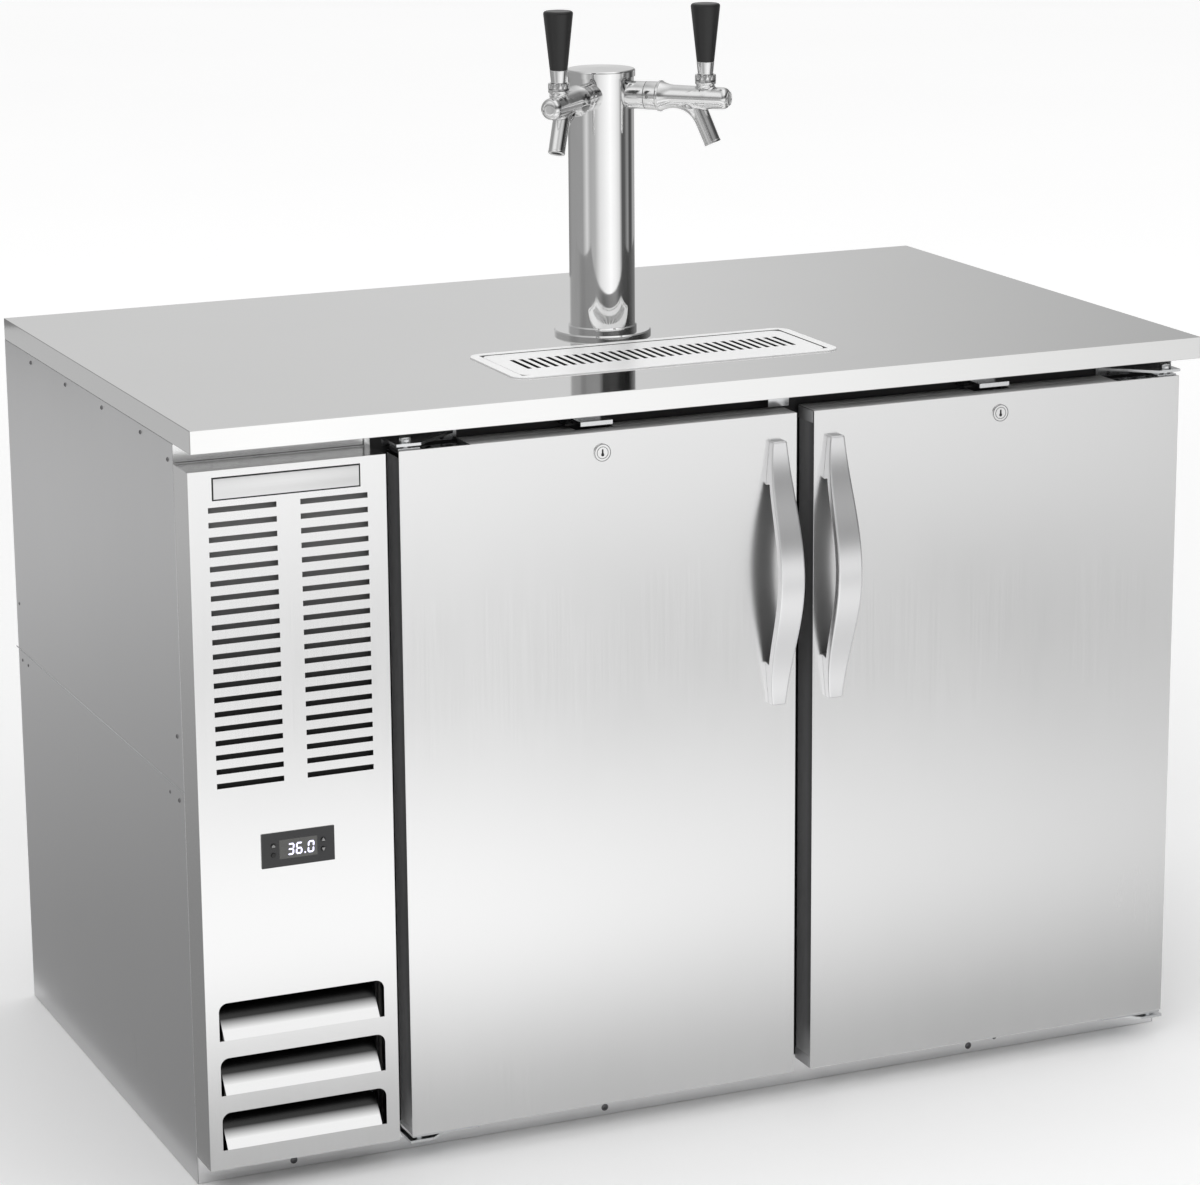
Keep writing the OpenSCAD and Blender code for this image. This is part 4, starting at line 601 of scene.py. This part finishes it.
def faucets():
    points, faces, normals = surface_net(faucet_field, (69.6, -20.0, -54.0), (160.0, 20.0, 17.0))
    ring = turned([(14.0, 71.8)] + arc((17.3, 72.2), 0.4, -90, 0, 4) + arc((17.3, 74.6), 0.4, 0, 90, 4)
                  + [(14.0, 75.0)])
    nose = turned(arc((7.6, 156.9), 0.55, -30, 210, 8))
    sleeve = turned([(13.2, 48.9), (16.0, 48.9)] + arc((15.6, 56.4), 0.4, 0, 90, 4) + [(15.4, 57.0)]
                    + arc((15.8, 57.7), 0.5, -90, 0, 4) + arc((15.8, 70.9), 0.5, 0, 90, 4) + [(13.2, 71.4)])
    screw = turned([(0.0, -0.5), (0.8, -0.5), (0.85, 0.0), (1.3, 0.1), (1.6, 0.0), (1.7, -0.6)], 24)
    on_collar = Matrix.Translation((COLLAR_X + 5.0, -16.5, 0)) @ Matrix.Rotation(math.pi / 2, 4, "X")
    tip = turned([(6.0, -2.0)] + arc((9.15, -1.4), 0.5, -60, 0, 4) + arc((9.15, 0.3), 0.5, 0, 90, 4)
                 + arc((6.3, 0.4), 0.4, 90, 180, 4) + [(5.9, -14.0)])
    # A near-black cap just inside the spout's mouth: painted shade in the bore.
    mouth = turned([(6.1, 0.2), (6.0, -0.6), (0.0, -1.0)], 48)
    on_spout = Matrix.Translation(SPOUT_TIP) @ Matrix.Rotation(math.pi / 2 + SPOUT_LEAN, 4, "Y")
    parts = [("faucet_ring", ring, ALONG_X, "satin"),
             ("faucet_nose", nose, ALONG_X, "satin"),
             ("coupling_collar", sleeve, ALONG_X, "satin"),
             ("joint_%d" % COLLAR_X, wire(15.9, COLLAR_X, 0.3), ALONG_X, "ink"),
             ("joint_%d" % BODY_X, wire(16.7, BODY_X, 0.3), ALONG_X, "ink"),
             ("set_screw", screw, on_collar, "ink"),
             ("spout_tip", tip, on_spout, "satin"),
             ("spout_bore", mouth, on_spout, "ink")]
    for side, name in TAPS:
        place = tap_place(side)
        shell = piece(name + "_faucet_shell", points, faces, "satin", "cabinet", place, normals)
        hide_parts(name + "_faucet_body")
        for part, shape, turn, mat in parts:
            obj = piece(name + "_" + part, *moved(shape, turn), mat, "cabinet", place)
            if part == "coupling_collar" and side == 1:
                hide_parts("coupling_collars")


# The lever's nut: its flats, and where its round face starts
FLATS, FLAT_R, NUT_R, NUT_Z = 12, 11.75, 12.1, 21.2


def ball_cap(radius, start, end):
    """Profile points on a ball about the lever's pivot."""
    return arc((0.0, PIVOT_Z), radius, start, end, 14)


def faceted(verts):
    step = 2 * math.pi / FLATS
    shaped = []
    for x, y, z in verts:
        r = math.hypot(x, y)
        if r > NUT_R and z > NUT_Z:
            turn = math.atan2(y, x) % step - step / 2
            r_new = FLAT_R / math.cos(turn)
            x, y = x * r_new / r, y * r_new / r
        shaped.append((x, y, z))
    return shaped


def levers():
    """A bonnet with a ball-shaped top, and a lever whose faceted nut rides over it."""
    cup = turned([(9.4, 10.0), (10.5, 11.0), (10.5, 14.2), (11.2, 15.4), (11.8, 16.2), (11.9, 16.8),
                  (11.9, 19.3), (11.6, 19.9)] + ball_cap(13.0, 25, 48))
    verts, faces = turned([(0.0, -3.0), (1.4, -2.4), (2.0, -1.0)] + ball_cap(5.0, -66, 66)
                          + ball_cap(13.2, 81, 27)
                          + [(11.9, 21.0), (12.2, 21.4), (12.2, 26.0), (11.7, 26.6), (9.3, 26.7), (8.9, 27.1),
                             (8.7, 27.6), (10.1, 40.6), (10.0, 41.3), (9.6, 41.5), (0.0, 41.5)], 96)
    shaped = faceted(verts)
    for side, name in TAPS:
        place = tap_place(side) @ Matrix.Translation((BONNET_X * MM, 0, 0))
        bonnet = piece(name + "_bonnet_cup", *cup, "satin", "cabinet", place)
        if side == 1:
            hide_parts("bonnets")
        piece(name + "_bonnet_line", *wire(11.65, 20.25, 0.35), "ink", "cabinet", place)
        lever = piece(name + "_tap_lever", shaped, faces, "satin", name + "_tap", place, sharp=24.0)
        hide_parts(name + "_lever")
        piece(name + "_lever_line", *wire(9.0, 26.85, 0.3), "ink", name + "_tap", place)


faucets()
levers()


# Door handles: a bow with rounded edges and a pointed finger gap

HANDLE_HALF, HANDLE_GAP, HANDLE_LEAD, HANDLE_FOOT, HANDLE_APEX = 151.5, 103.5, 9.0, 2.0, 8.0
HANDLE_THICK, HANDLE_RISE = 10.0, 34.6
HANDLE_END_W, HANDLE_SWELL, HANDLE_ROUND = 8.3, 6.35, 2.2


def hard(a, b, k):
    return -blend(-a, -b, k)


def bow_depth(t):
    """The bow's depth, with t from 0 at its middle to 1 at an end."""
    return HANDLE_THICK + HANDLE_RISE * (1 + np.cos(math.pi * t)) / 2


def handle_parts(p):
    """The outer bow and the finger gap, each as a distance."""
    x, y, z = p[:, 0], p[:, 1], np.abs(p[:, 2])
    t = np.clip(z / HANDLE_HALF, 0.0, 1.0)
    depth = bow_depth(t)
    wide = HANDLE_END_W + HANDLE_SWELL * (1 - t ** 3)
    bow = hard(hard(-y - depth, np.abs(x) - wide, HANDLE_ROUND), z - HANDLE_HALF, HANDLE_ROUND)
    start = HANDLE_GAP - HANDLE_LEAD
    edge = bow_depth(start / HANDLE_HALF) - HANDLE_THICK
    slant = np.clip((z - start) / HANDLE_LEAD, 0.0, None)
    front = np.where(z < start, HANDLE_THICK - depth, slant * (edge - HANDLE_APEX) - edge)
    gap = hard(front - y, (y + HANDLE_APEX * (z - HANDLE_GAP + HANDLE_FOOT) / HANDLE_FOOT) * 0.24, 0.8)
    return bow, gap


def handle_field(p):
    bow, gap = handle_parts(p)
    return np.maximum(hard(bow, -gap, 1.2), p[:, 1])


def some_faces(points, faces, normals, keep):
    used, place = np.unique(faces[keep], return_inverse=True)
    return points[used], place.reshape(-1, 4), normals[used]


def handles():
    points, faces, normals = surface_net(handle_field, (-16.0, -46.0, -153.0), (16.0, 1.5, 153.0))
    bow, gap = handle_parts(points[faces].mean(axis=1))
    # Faces of the finger gap get the dark copy of the cast metal: painted shade.
    inner = -gap > bow + 0.2
    for side in ("left", "right"):
        low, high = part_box(side + "_handle")
        place = Matrix.Translation(((low[0] + high[0]) / 2, high[1], (low[2] + high[2]) / 2))
        for name, mat, keep in (("bow_handle", "handle", ~inner), ("bow_underside", "rough", inner)):
            verts, quads, ways = some_faces(points, faces, normals, keep)
            part = piece(side + "_" + name, verts, quads, mat, side + "_door", place, ways)
            if name == "bow_handle":
                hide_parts(side + "_handle")


handles()


# Name plate, display figures and key marks

PANEL_FRONT = -380.5
PANEL_X = -499.5


def name_plate():
    x, z = -501.0, 792.0
    outer = slab((x - 82.5, PANEL_FRONT - 0.5, z - 12.5), (x + 82.5, PANEL_FRONT + 0.2, z + 12.5), 0.2)
    inner = slab((x - 80.9, PANEL_FRONT - 0.7, z - 10.9), (x + 80.9, PANEL_FRONT - 0.2, z + 10.9), 0.15)
    piece("name_plate_border", *outer, "ink", "cabinet")
    piece("name_plate", *inner, "plate", "cabinet")


SEGMENTS = {"3": "abcdg", "6": "acdefg", "0": "abcdef"}


def figures():
    front, mid = -382.0, 389.3 - 0.6
    wide, tall, stroke, slant, dot_r = 7.6, 13.4, 1.9, 0.07, 1.0
    rows = {"a": tall / 2 - stroke / 2, "g": 0, "d": -tall / 2 + stroke / 2}
    half = tall / 4 - stroke / 8
    parts = []

    def lay(outline):
        parts.append(prism(outline, front - 0.15, front + 0.05))

    def bar(x, z, length, upright):
        h, w = length / 2, stroke / 2
        flat = [(-h, 0), (-h + w, w), (h - w, w), (h, 0), (h - w, -w), (-h + w, -w)]
        if upright:
            flat = [(b, a) for a, b in flat]
        lay([(x + a + slant * (z + b), mid + z + b) for a, b in flat])

    for glyph, left in (("3", -12.2), ("6", -2.8), ("0", 10.6)):
        cx = PANEL_X + left + wide / 2
        for key in SEGMENTS[glyph]:
            if key in rows:
                bar(cx, rows[key], wide - stroke * 0.9, False)
            else:
                bar(cx + (wide - stroke) / 2 * (1 if key in "bc" else -1), half * (1 if key in "bf" else -1),
                    tall / 2 - stroke * 0.75, True)
    lay([(PANEL_X + 7.6 + dot_r * math.cos(a), mid - tall / 2 + dot_r + dot_r * math.sin(a))
         for a in [math.pi * k / 6 for k in range(12)]])
    piece("display_figures", *joined(parts), "digit", "cabinet")


def key_marks():
    arrow = [(-2.1, -1.4), (2.1, -1.4), (0.3, 2.0), (-0.3, 2.0)]
    house = [(-1.9, -1.5), (1.9, -1.5), (1.9, -0.1), (0.4, 1.6), (-0.4, 1.6), (-1.9, -0.1)]
    shapes = {
        "button_up": ("up_key", arrow),
        "button_down": ("down_key", [(x, -z) for x, z in arrow][::-1]),
        "button_set": ("set_key", house),
    }
    for node, (body, flat) in shapes.items():
        low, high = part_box(node)
        x, z = (low[0] + high[0]) / 2 / MM, (low[2] + high[2]) / 2 / MM
        front = low[1] / MM
        outline = [(x + a, z + b) for a, b in flat]
        piece(node + "_mark", *prism(outline, front - 0.12, front + 0.1), "mark", body)


def dust_screens():
    """A fine screen behind each column of slots."""
    for side in (-1, 1):
        x = PANEL_X + 51.0 * side
        sheet = slab((x - 43.0, -373.6, 460.0), (x + 43.0, -372.8, 778.0), 0.3, 2)
        piece("dust_screen_%d" % (side + 1), *sheet, "screen", "cabinet")


def header_lines():
    """The dark joint lines where the header sheet meets the panel's top fold and its own end piece."""
    parts = [slab((-609.0, -332.6, 813.0), (-397.4, -332.0, 813.6), 0.15, 2),
             slab((-397.4, -332.6, 813.0), (-396.4, -332.0, 832.0), 0.15, 2)]
    piece("header_lines", *joined(parts), "ink", "cabinet")


name_plate()
figures()
key_marks()
dust_screens()
header_lines()


# Door gaskets: dart, folds and magnet pocket in one section

def gaskets():
    section = [(0.6, 0.05), (0.0, 0.8), (0.6, 1.6), (4.2, 2.0), (2.2, 3.2), (4.2, 4.4), (1.6, 5.6),
               (1.2, 6.6), (1.6, 8.9), (2.6, 9.2), (12.8, 9.2), (13.6, 8.6), (13.8, 6.4), (13.0, 5.6),
               (10.8, 4.4), (13.0, 3.2), (11.5, 2.0), (15.4, 1.6), (16.0, 0.8), (15.4, 0.05)]
    for side in ("left", "right"):
        low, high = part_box(side + "_gasket")
        x0, x1, z0, z1 = low[0] / MM, high[0] / MM, low[2] / MM, high[2] / MM
        verts, faces = [], []
        n = len(section)
        for u, v in section:
            y = low[1] / MM + v
            verts += [(x0 + u, y, z0 + u), (x1 - u, y, z0 + u), (x1 - u, y, z1 - u), (x0 + u, y, z1 - u)]
        for j in range(n):
            k = (j + 1) % n
            for c in range(4):
                d = (c + 1) % 4
                faces.append((4 * j + c, 4 * j + d, 4 * k + d, 4 * k + c))
        body = piece(side + "_door_seal", verts, faces, "rubber", side + "_door", sharp=50.0)
        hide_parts(side + "_gasket")


gaskets()


# Door hardware

DOOR_TOP, DOOR_FRONT, DOOR_BACK, DOOR_W = 813.0, -380.5, -340.5, 471.5
DOOR_FOLD = -360.6
DOORS = {"left": (-374.5, 1), "right": (590.0, -1)}
LOCKS = {"left": -138.75, "right": 354.25}
LOCK_Z = 790.0
SIDE_X = -609.4
SCREW_SHARP = 28.0
STANDING = Matrix.Identity(4)
TO_FRONT = Matrix.Rotation(math.pi / 2, 4, "X")
TO_LEFT = Matrix.Rotation(-math.pi / 2, 4, "Y")


def span(side, a, b):
    """Two distances from a door's hinge edge, as X limits in the shared frame."""
    edge, way = DOORS[side]
    return sorted((edge + way * a, edge + way * b))


def dome_screw(r, h):
    """A low domed head with a cross recess, on the XY plane."""
    rings, spokes = 10, 40
    verts, faces = [], []
    for i in range(rings + 1):
        q = i / rings
        for k in range(spokes):
            a = 2 * math.pi * k / spokes
            x, y = q * math.cos(a), q * math.sin(a)
            z = h * (1 - q ** 2.6)
            cross = (abs(x) < 0.13 and abs(y) < 0.55) or (abs(y) < 0.13 and abs(x) < 0.55)
            verts.append((r * x, r * y, z - (0.45 * h if cross else 0.0)))
    for i in range(rings):
        for k in range(spokes):
            n = (k + 1) % spokes
            faces.append((i * spokes + k, (i + 1) * spokes + k, (i + 1) * spokes + n, i * spokes + n))
    return verts, faces


def screw_heads(name, size, places, turn, mat):
    """Screw heads on the cabinet as one piece, each turned to its face."""
    parts = [moved(dome_screw(*size), Matrix.Translation(place) @ turn) for place in places]
    return piece(name, *joined(parts), mat, "cabinet", sharp=SCREW_SHARP)


def door_tops():
    """The folded top edge of each door, open at the lock's notch."""
    free, back = DOOR_W - 0.6, DOOR_BACK - 0.3
    strips = ((82.4, free, DOOR_FRONT + 0.5, DOOR_FOLD), (82.4, 213.0, DOOR_FOLD, back),
              (258.5, free, DOOR_FOLD, back))
    for side in DOORS:
        parts = []
        for a, b, y0, y1 in strips:
            x = span(side, a, b)
            parts.append(slab((x[0], y0, DOOR_TOP - 0.2), (x[1], y1, DOOR_TOP + 0.3), 0.12, 2))
        piece(side + "_door_top_edge", *joined(parts), "edge", side + "_door")


def pocket_screws():
    washer = turned([(3.0, 0.0), (7.6, 0.0), (7.8, 0.3), (7.6, 0.8), (3.0, 0.8)], 40)
    for side in DOORS:
        parts = []
        for a in (44.0, 68.0):
            x = span(side, a, a)[0]
            parts.append(moved(dome_screw(5.2, 2.2), Matrix.Translation((x, -353.0, 808.0))))
            parts.append(moved(washer, Matrix.Translation((x, -353.0, 807.8))))
        piece(side + "_pocket_screws", *joined(parts), "screw", side + "_door", sharp=SCREW_SHARP)


def hinge_bolts():
    """The head of each hinge pin over its bracket."""
    head = turned([(0.0, 6.0), (5.0, 6.0), (6.1, 5.4), (6.6, 4.4), (6.6, 0.6), (6.9, 0.4), (6.9, 0.0),
                   (0.0, 0.0)], 48)
    parts = []
    for side in DOORS:
        x = span(side, 12.0, 12.0)[0]
        parts.append(moved(head, Matrix.Translation((x, -368.5, 820.6))))
    piece("hinge_bolt_heads", *joined(parts), "zinc", "cabinet")


def strike_clips():
    """A small black clip with a screw at the left of each strike."""
    clips, places = [], []
    for centre in LOCKS.values():
        x = centre - 19.0
        clips.append(slab((x - 12.5, -353.0, 816.6), (x - 0.6, -334.0, 818.6), 0.4, 2))
        clips.append(slab((x - 12.5, -336.5, 816.6), (x - 0.6, -331.3, 829.0), 0.4, 2))
        places.append((x - 6.5, -347.0, 818.5))
    piece("strike_clips", *joined(clips), "paint", "cabinet")
    screw_heads("strike_clip_screws", (3.6, 1.8), places, STANDING, "screw")


def top_catch():
    """The small plate under the worktop at the left door's free end."""
    plate = [slab((77.0, -349.0, 814.8), (103.0, -347.2, 831.5), 0.5),
             slab((77.0, -348.0, 829.5), (103.0, -331.3, 831.5), 0.5)]
    piece("top_catch", *joined(plate), "zinc", "cabinet")


def lock_faces():
    """A bezel ring with a fine groove, and a keyhole on the plug."""
    front = DOOR_FRONT - 1.5
    rim = turned([(9.0, 0.0)] + arc((9.35, 0.05), 0.35, 180, 0, 6) + [(9.7, -1.4)], 64)
    lip = turned(arc((6.55, 0.0), 0.3, 200, -20, 6), 64)
    half = [math.pi * k / 6 for k in range(7)]
    drop = [(0.9 * math.cos(a), 3.2 + 0.9 * math.sin(a)) for a in half] + [(-1.0, 0.0)]
    drop += [(-1.9 * math.cos(a), -2.2 - 1.9 * math.sin(a)) for a in half] + [(1.0, 0.0)]
    for side, x in LOCKS.items():
        place = Matrix.Translation((x, front, LOCK_Z)) @ TO_FRONT
        piece(side + "_lock_rim", *moved(rim, place), "screw", side + "_door")
        piece(side + "_lock_lip", *moved(lip, place), "screw", side + "_door")
        outline = [(x + a, LOCK_Z + b) for a, b in drop]
        piece(side + "_keyhole", *prism(outline, front - 0.12, front + 0.4), "ink", side + "_key_plug")


def trim_caps():
    """End caps on the trims at the doors' free edges."""
    for side in DOORS:
        x = span(side, DOOR_W - 0.2, DOOR_W + 0.5)
        parts = [slab((x[0], -377.5, z), (x[1], -342.0, z + 13.5), 0.25, 2) for z in (35.6, 798.9)]
        piece(side + "_trim_caps", *joined(parts), "cap", side + "_door")


def base_screws():
    """Screws that hold the base rail, seen under the front panel and the doors."""
    places = [(x, -331.0, 9.0) for x in (-497.4, -120.0, 354.0)]
    screw_heads("base_screws", (4.2, 1.8), places, TO_FRONT, "screw")


def side_details():
    """The folded edge that shows in the side's level seam, a bright strip along the front edge as a painted
    highlight, and the small screws by the level seam.
    """
    fold = slab((SIDE_X, -328.0, 449.35), (SIDE_X + 0.8, 342.0, 450.65), 0.2, 2)
    piece("side_seam_fold", *fold, "zinc", "cabinet")
    # A bright zinc strip along the side's front edge: painted highlight on a real edge.
    edge = slab((SIDE_X - 0.2, -331.7, 36.0), (SIDE_X + 0.4, -330.3, 833.0), 0.15, 2)
    piece("side_front_edge_highlight", *edge, "zinc", "cabinet")
    spots = ((-279.6, 437.5), (289.0, 438.2), (314.0, 438.6), (318.0, 509.0))
    screw_heads("side_screws", (2.2, 0.9), [(SIDE_X, y, z) for y, z in spots], TO_LEFT, "rivet")


RIVET_SHARE, RIVET_REACH = 0.75, 0.0125


def rivet_heads():
    """Domed heads in place of the plain ones, each on the face that it stands on."""
    points = np.array([v.co for v in NODES["fasteners"].data.vertices])
    left = list(range(len(points)))
    parts = []
    while left:
        near = [i for i in left if np.abs(points[i] - points[left[0]]).max() < RIVET_REACH]
        group = points[near]
        left = [i for i in left if i not in set(near)]
        low, high = group.min(axis=0) / MM, group.max(axis=0) / MM
        axis = int(np.argmin(high - low))
        r = (high - low).max() / 2 * RIVET_SHARE
        centre = (low + high) / 2
        centre[axis] = high[axis]
        place = Matrix.Translation(Vector(centre)) @ (TO_LEFT if axis == 0 else TO_FRONT)
        parts.append(moved(dome_screw(r, (high - low)[axis]), place))
    heads = piece("rivet_heads", *joined(parts), "rivet", "cabinet", sharp=SCREW_SHARP)
    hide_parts("fasteners")


door_tops()
pocket_screws()
hinge_bolts()
strike_clips()
top_catch()
lock_faces()
trim_caps()
base_screws()
side_details()
rivet_heads()


# Camera

def camera():
    azimuth, elevation, roll = math.radians(-23.44), math.radians(14.30), math.radians(-0.44)
    back = Vector((math.sin(azimuth) * math.cos(elevation), -math.cos(azimuth) * math.cos(elevation),
                   math.sin(elevation)))
    right = Vector((0, 0, 1)).cross(back).normalized()
    up = back.cross(right)
    right_r = right * math.cos(roll) + up * math.sin(roll)
    up_r = up * math.cos(roll) - right * math.sin(roll)
    data = bpy.data.cameras.new("camera")
    data.sensor_width = 36.0
    data.lens = 118.39
    data.clip_end = 200.0
    cam = bpy.data.objects.new("camera", data)
    m = Matrix((right_r, up_r, back)).transposed().to_4x4()
    m.translation = Vector((-1.81081, -4.22820, 1.70234))
    cam.matrix_world = m
    bpy.context.scene.collection.objects.link(cam)
    bpy.context.scene.camera = cam


camera()


# Stage

def stage_mesh(name, verts, faces, mat, place=(0, 0, 0)):
    mesh = bpy.data.meshes.new(name)
    mesh.from_pydata(verts, [], faces)
    mesh.materials.append(mat)
    obj = bpy.data.objects.new(name, mesh)
    obj.matrix_world = Matrix.Translation(place)
    bpy.context.scene.collection.objects.link(obj)
    return obj


def plane(name, size, place, mat):
    x, y = size[0] / 2, size[1] / 2
    corners = [(-x, -y, 0), (x, -y, 0), (x, y, 0), (-x, y, 0)]
    return stage_mesh(name, corners, [(0, 1, 2, 3)], mat, place)


def floor():
    """A pale floor that grows lighter with distance, for the camera alone."""
    mat, tree, bsdf = material("floor_pale")
    cloud = noise(tree, (0.7, 0.7, 0.7), detail=3.0)
    tree.links.new(mix_color(tree, cloud, grey(0.90), grey(0.93)), bsdf.inputs["Base Color"])
    bsdf.inputs["Roughness"].default_value = 0.9
    bsdf.inputs["Specular IOR Level"].default_value = 0.1
    coord = tree.nodes.new("ShaderNodeTexCoord")
    reach = tree.nodes.new("ShaderNodeVectorMath")
    reach.operation = "LENGTH"
    tree.links.new(coord.outputs["Object"], reach.inputs[0])
    path = tree.nodes.new("ShaderNodeLightPath")
    glow = remap(tree, reach.outputs["Value"], 0.0, 0.3, start=1.2, end=5.0)
    bsdf.inputs["Emission Color"].default_value = (1, 1, 1, 1)
    tree.links.new(combine(tree, "MULTIPLY", glow, path.outputs["Is Camera Ray"]),
                   bsdf.inputs["Emission Strength"])
    plane("floor", (90, 90), (0, 0, -0.0005), mat)


def mirror_only(obj):
    obj.visible_camera = False
    obj.visible_diffuse = False
    obj.visible_shadow = False
    obj.visible_transmission = False


def position(tree):
    """A point's X, Y and Z in the shared frame."""
    geometry = tree.nodes.new("ShaderNodeNewGeometry")
    split = tree.nodes.new("ShaderNodeSeparateXYZ")
    tree.links.new(geometry.outputs["Position"], split.inputs["Vector"])
    return split.outputs


def ramp(tree, value, stops, low=0.0, high=1.0):
    """A tone that runs through (place, tone) stops between low and high."""
    node = tree.nodes.new("ShaderNodeValToRGB")
    tree.links.new(remap(tree, value, 0.0, 1.0, low, high), node.inputs["Fac"])
    line = node.color_ramp
    while len(line.elements) < len(stops):
        line.elements.new(0.5)
    for element, (place, _) in zip(line.elements, stops):
        element.position = (place - low) / (high - low)
    for element, (_, tone) in zip(line.elements, stops):
        element.color = (*grey(tone), 1)
    return node.outputs["Color"]


def ring_card(name, height, stops, radius=3.2):
    """A curved wall of soft cards that only shows in polished metal.

    Stops are (azimuth, tone), with 0 in front.
    """
    mat, tree, emit = material(name, "ShaderNodeEmission")
    place = position(tree)
    ahead = tree.nodes.new("ShaderNodeMath")
    ahead.operation = "MULTIPLY"
    ahead.inputs[1].default_value = -1.0
    tree.links.new(place["Y"], ahead.inputs[0])
    angle = combine(tree, "ARCTAN2", place["X"], ahead.outputs[0])
    turns = [(math.radians(azimuth), tone) for azimuth, tone in stops]
    first, last = turns[0][0], turns[-1][0]
    tree.links.new(ramp(tree, angle, turns, first, last), emit.inputs["Color"])
    verts, faces, steps = [], [], 120
    for i in range(steps + 1):
        a = first + (last - first) * i / steps
        x, y = math.sin(a) * radius, -math.cos(a) * radius
        verts += [(x, y, 0.001), (x, y, height)]
        if i < steps:
            faces.append((2 * i, 2 * i + 2, 2 * i + 3, 2 * i + 1))
    mirror_only(stage_mesh(name, verts, faces, mat))


def floor_card(name, low, high, stops, fade=None):
    """A flat card on the floor that only shows in polished metal, graded along Y.

    A fade is two places along X and the strength at the second one.
    """
    mat, tree, emit = material(name, "ShaderNodeEmission")
    place = position(tree)
    tree.links.new(ramp(tree, place["Y"], stops, stops[0][0], stops[-1][0]), emit.inputs["Color"])
    if fade:
        near, far, strength = fade
        tree.links.new(remap(tree, place["X"], 1.0, strength, near, far), emit.inputs["Strength"])
    size = (high[0] - low[0], high[1] - low[1])
    centre = ((low[0] + high[0]) / 2, (low[1] + high[1]) / 2, 0.0005)
    mirror_only(plane(name, size, centre, mat))


def area(name, place, target, size, power):
    data = bpy.data.lights.new(name, "AREA")
    data.shape = "RECTANGLE"
    data.size, data.size_y = size
    data.energy = power
    lamp = bpy.data.objects.new(name, data)
    lamp.location = place
    direction = Vector(target) - Vector(place)
    lamp.rotation_euler = direction.to_track_quat("-Z", "Y").to_euler()
    bpy.context.scene.collection.objects.link(lamp)
    lamp.visible_glossy = False


def studio_world():
    """Even white light, with a graded studio for mirror rays: grey in front, lighter behind."""
    world = bpy.data.worlds.new("studio")
    world.use_nodes = True
    tree = world.node_tree
    back = tree.nodes["Background"]
    back.inputs["Color"].default_value = (1, 1, 1, 1)
    back.inputs["Strength"].default_value = 0.72
    coord = tree.nodes.new("ShaderNodeTexCoord")
    split = tree.nodes.new("ShaderNodeSeparateXYZ")
    tree.links.new(coord.outputs["Generated"], split.inputs["Vector"])
    x, y, z = [split.outputs[axis] for axis in "XYZ"]
    below = [(0.0, 0.40), (0.15, 0.36), (0.176, 0.34), (0.187, 0.02)]
    above = [(0.42, 0.5), (0.55, 1.0), (1.0, 1.1)]
    ahead = ramp(tree, z, below + [(0.206, 0.02), (0.23, 0.35)] + above)
    right = ramp(tree, z, below + [(0.25, 0.02), (0.33, 0.1)] + above)
    front = mix_sockets(tree, remap(tree, x, 0.0, 1.0, 0.16, 0.28), ahead, right)
    rear = ramp(tree, z, [(0.0, 0.70), (0.25, 0.62), (0.6, 0.66), (1.0, 0.90)])
    around = mix_sockets(tree, remap(tree, y, 0.0, 1.0, -0.15, 0.4), front, rear)
    sides = ramp(tree, x, [(-1.0, 0.5), (-0.3, 0.55), (0.1, 0.9), (0.25, 0.97), (0.4, 1.0), (0.52, 0.7),
                           (0.65, 0.35), (1.0, 0.2)], -1.0, 1.0)
    shaded = tree.nodes.new("ShaderNodeVectorMath")
    shaded.operation = "MULTIPLY"
    tree.links.new(around, shaded.inputs[0])
    tree.links.new(sides, shaded.inputs[1])
    left = ramp(tree, z, [(0.0, 0.35), (0.15, 0.30), (0.2, 0.25), (0.3, 0.6), (0.45, 0.9), (1.0, 1.0)])
    corner = combine(tree, "MULTIPLY", remap(tree, x, 0.0, 1.0, -0.35, -0.6),
                     remap(tree, y, 0.0, 1.0, 0.4, -0.15))
    mirror = tree.nodes.new("ShaderNodeBackground")
    tree.links.new(mix_sockets(tree, corner, shaded.outputs[0], left), mirror.inputs["Color"])
    path = tree.nodes.new("ShaderNodeLightPath")
    choose = tree.nodes.new("ShaderNodeMixShader")
    tree.links.new(path.outputs["Is Glossy Ray"], choose.inputs["Fac"])
    tree.links.new(back.outputs["Background"], choose.inputs[1])
    tree.links.new(mirror.outputs["Background"], choose.inputs[2])
    tree.links.new(choose.outputs["Shader"], tree.nodes["World Output"].inputs["Surface"])
    bpy.context.scene.world = world


def light():
    studio_world()
    area("key", (-2.6, -3.4, 3.6), (0, -0.1, 0.5), (2.4, 2.0), 55)
    area("fill", (3.4, -2.6, 2.6), (0, -0.1, 0.5), (2.2, 2.2), 30)
    area("top", (0.2, 0.2, 4.2), (0, 0, 0), (3.0, 2.2), 40)
    ring_card("studio_wall", 1.0, [
        (-180, 0.24), (-150, 0.32), (-92, 0.33), (-75, 0.70), (-62, 0.42), (-45, 0.46), (-28, 0.80),
        (8, 1.10), (26, 0.95), (40, 0.75), (52, 0.10), (64, 0.10), (77, 0.32), (90, 0.06), (102, 0.10),
        (116, 0.42), (180, 0.24)])
    ring_card("side_wall", 0.38, [(-179, 0.60), (-165, 0.74), (-140, 0.74), (-128, 0.50)], radius=3.1)
    floor_card("front_floor", (-2.4, -3.1), (2.6, -0.43),
               [(-3.3, 1.05), (-2.4, 0.64), (-1.45, 1.1), (-1.05, 1.1), (-0.6, 0.55), (-0.38, 0.45)],
               fade=(0.0, 1.3, 0.62))
    floor_card("side_floor", (-2.6, -0.43), (-0.63, 3.4),
               [(-0.43, 0.32), (0.6, 0.38), (1.6, 0.52), (2.6, 0.72), (3.4, 0.80)])


floor()
light()

scene = bpy.context.scene
scene.view_settings.view_transform = "Standard"
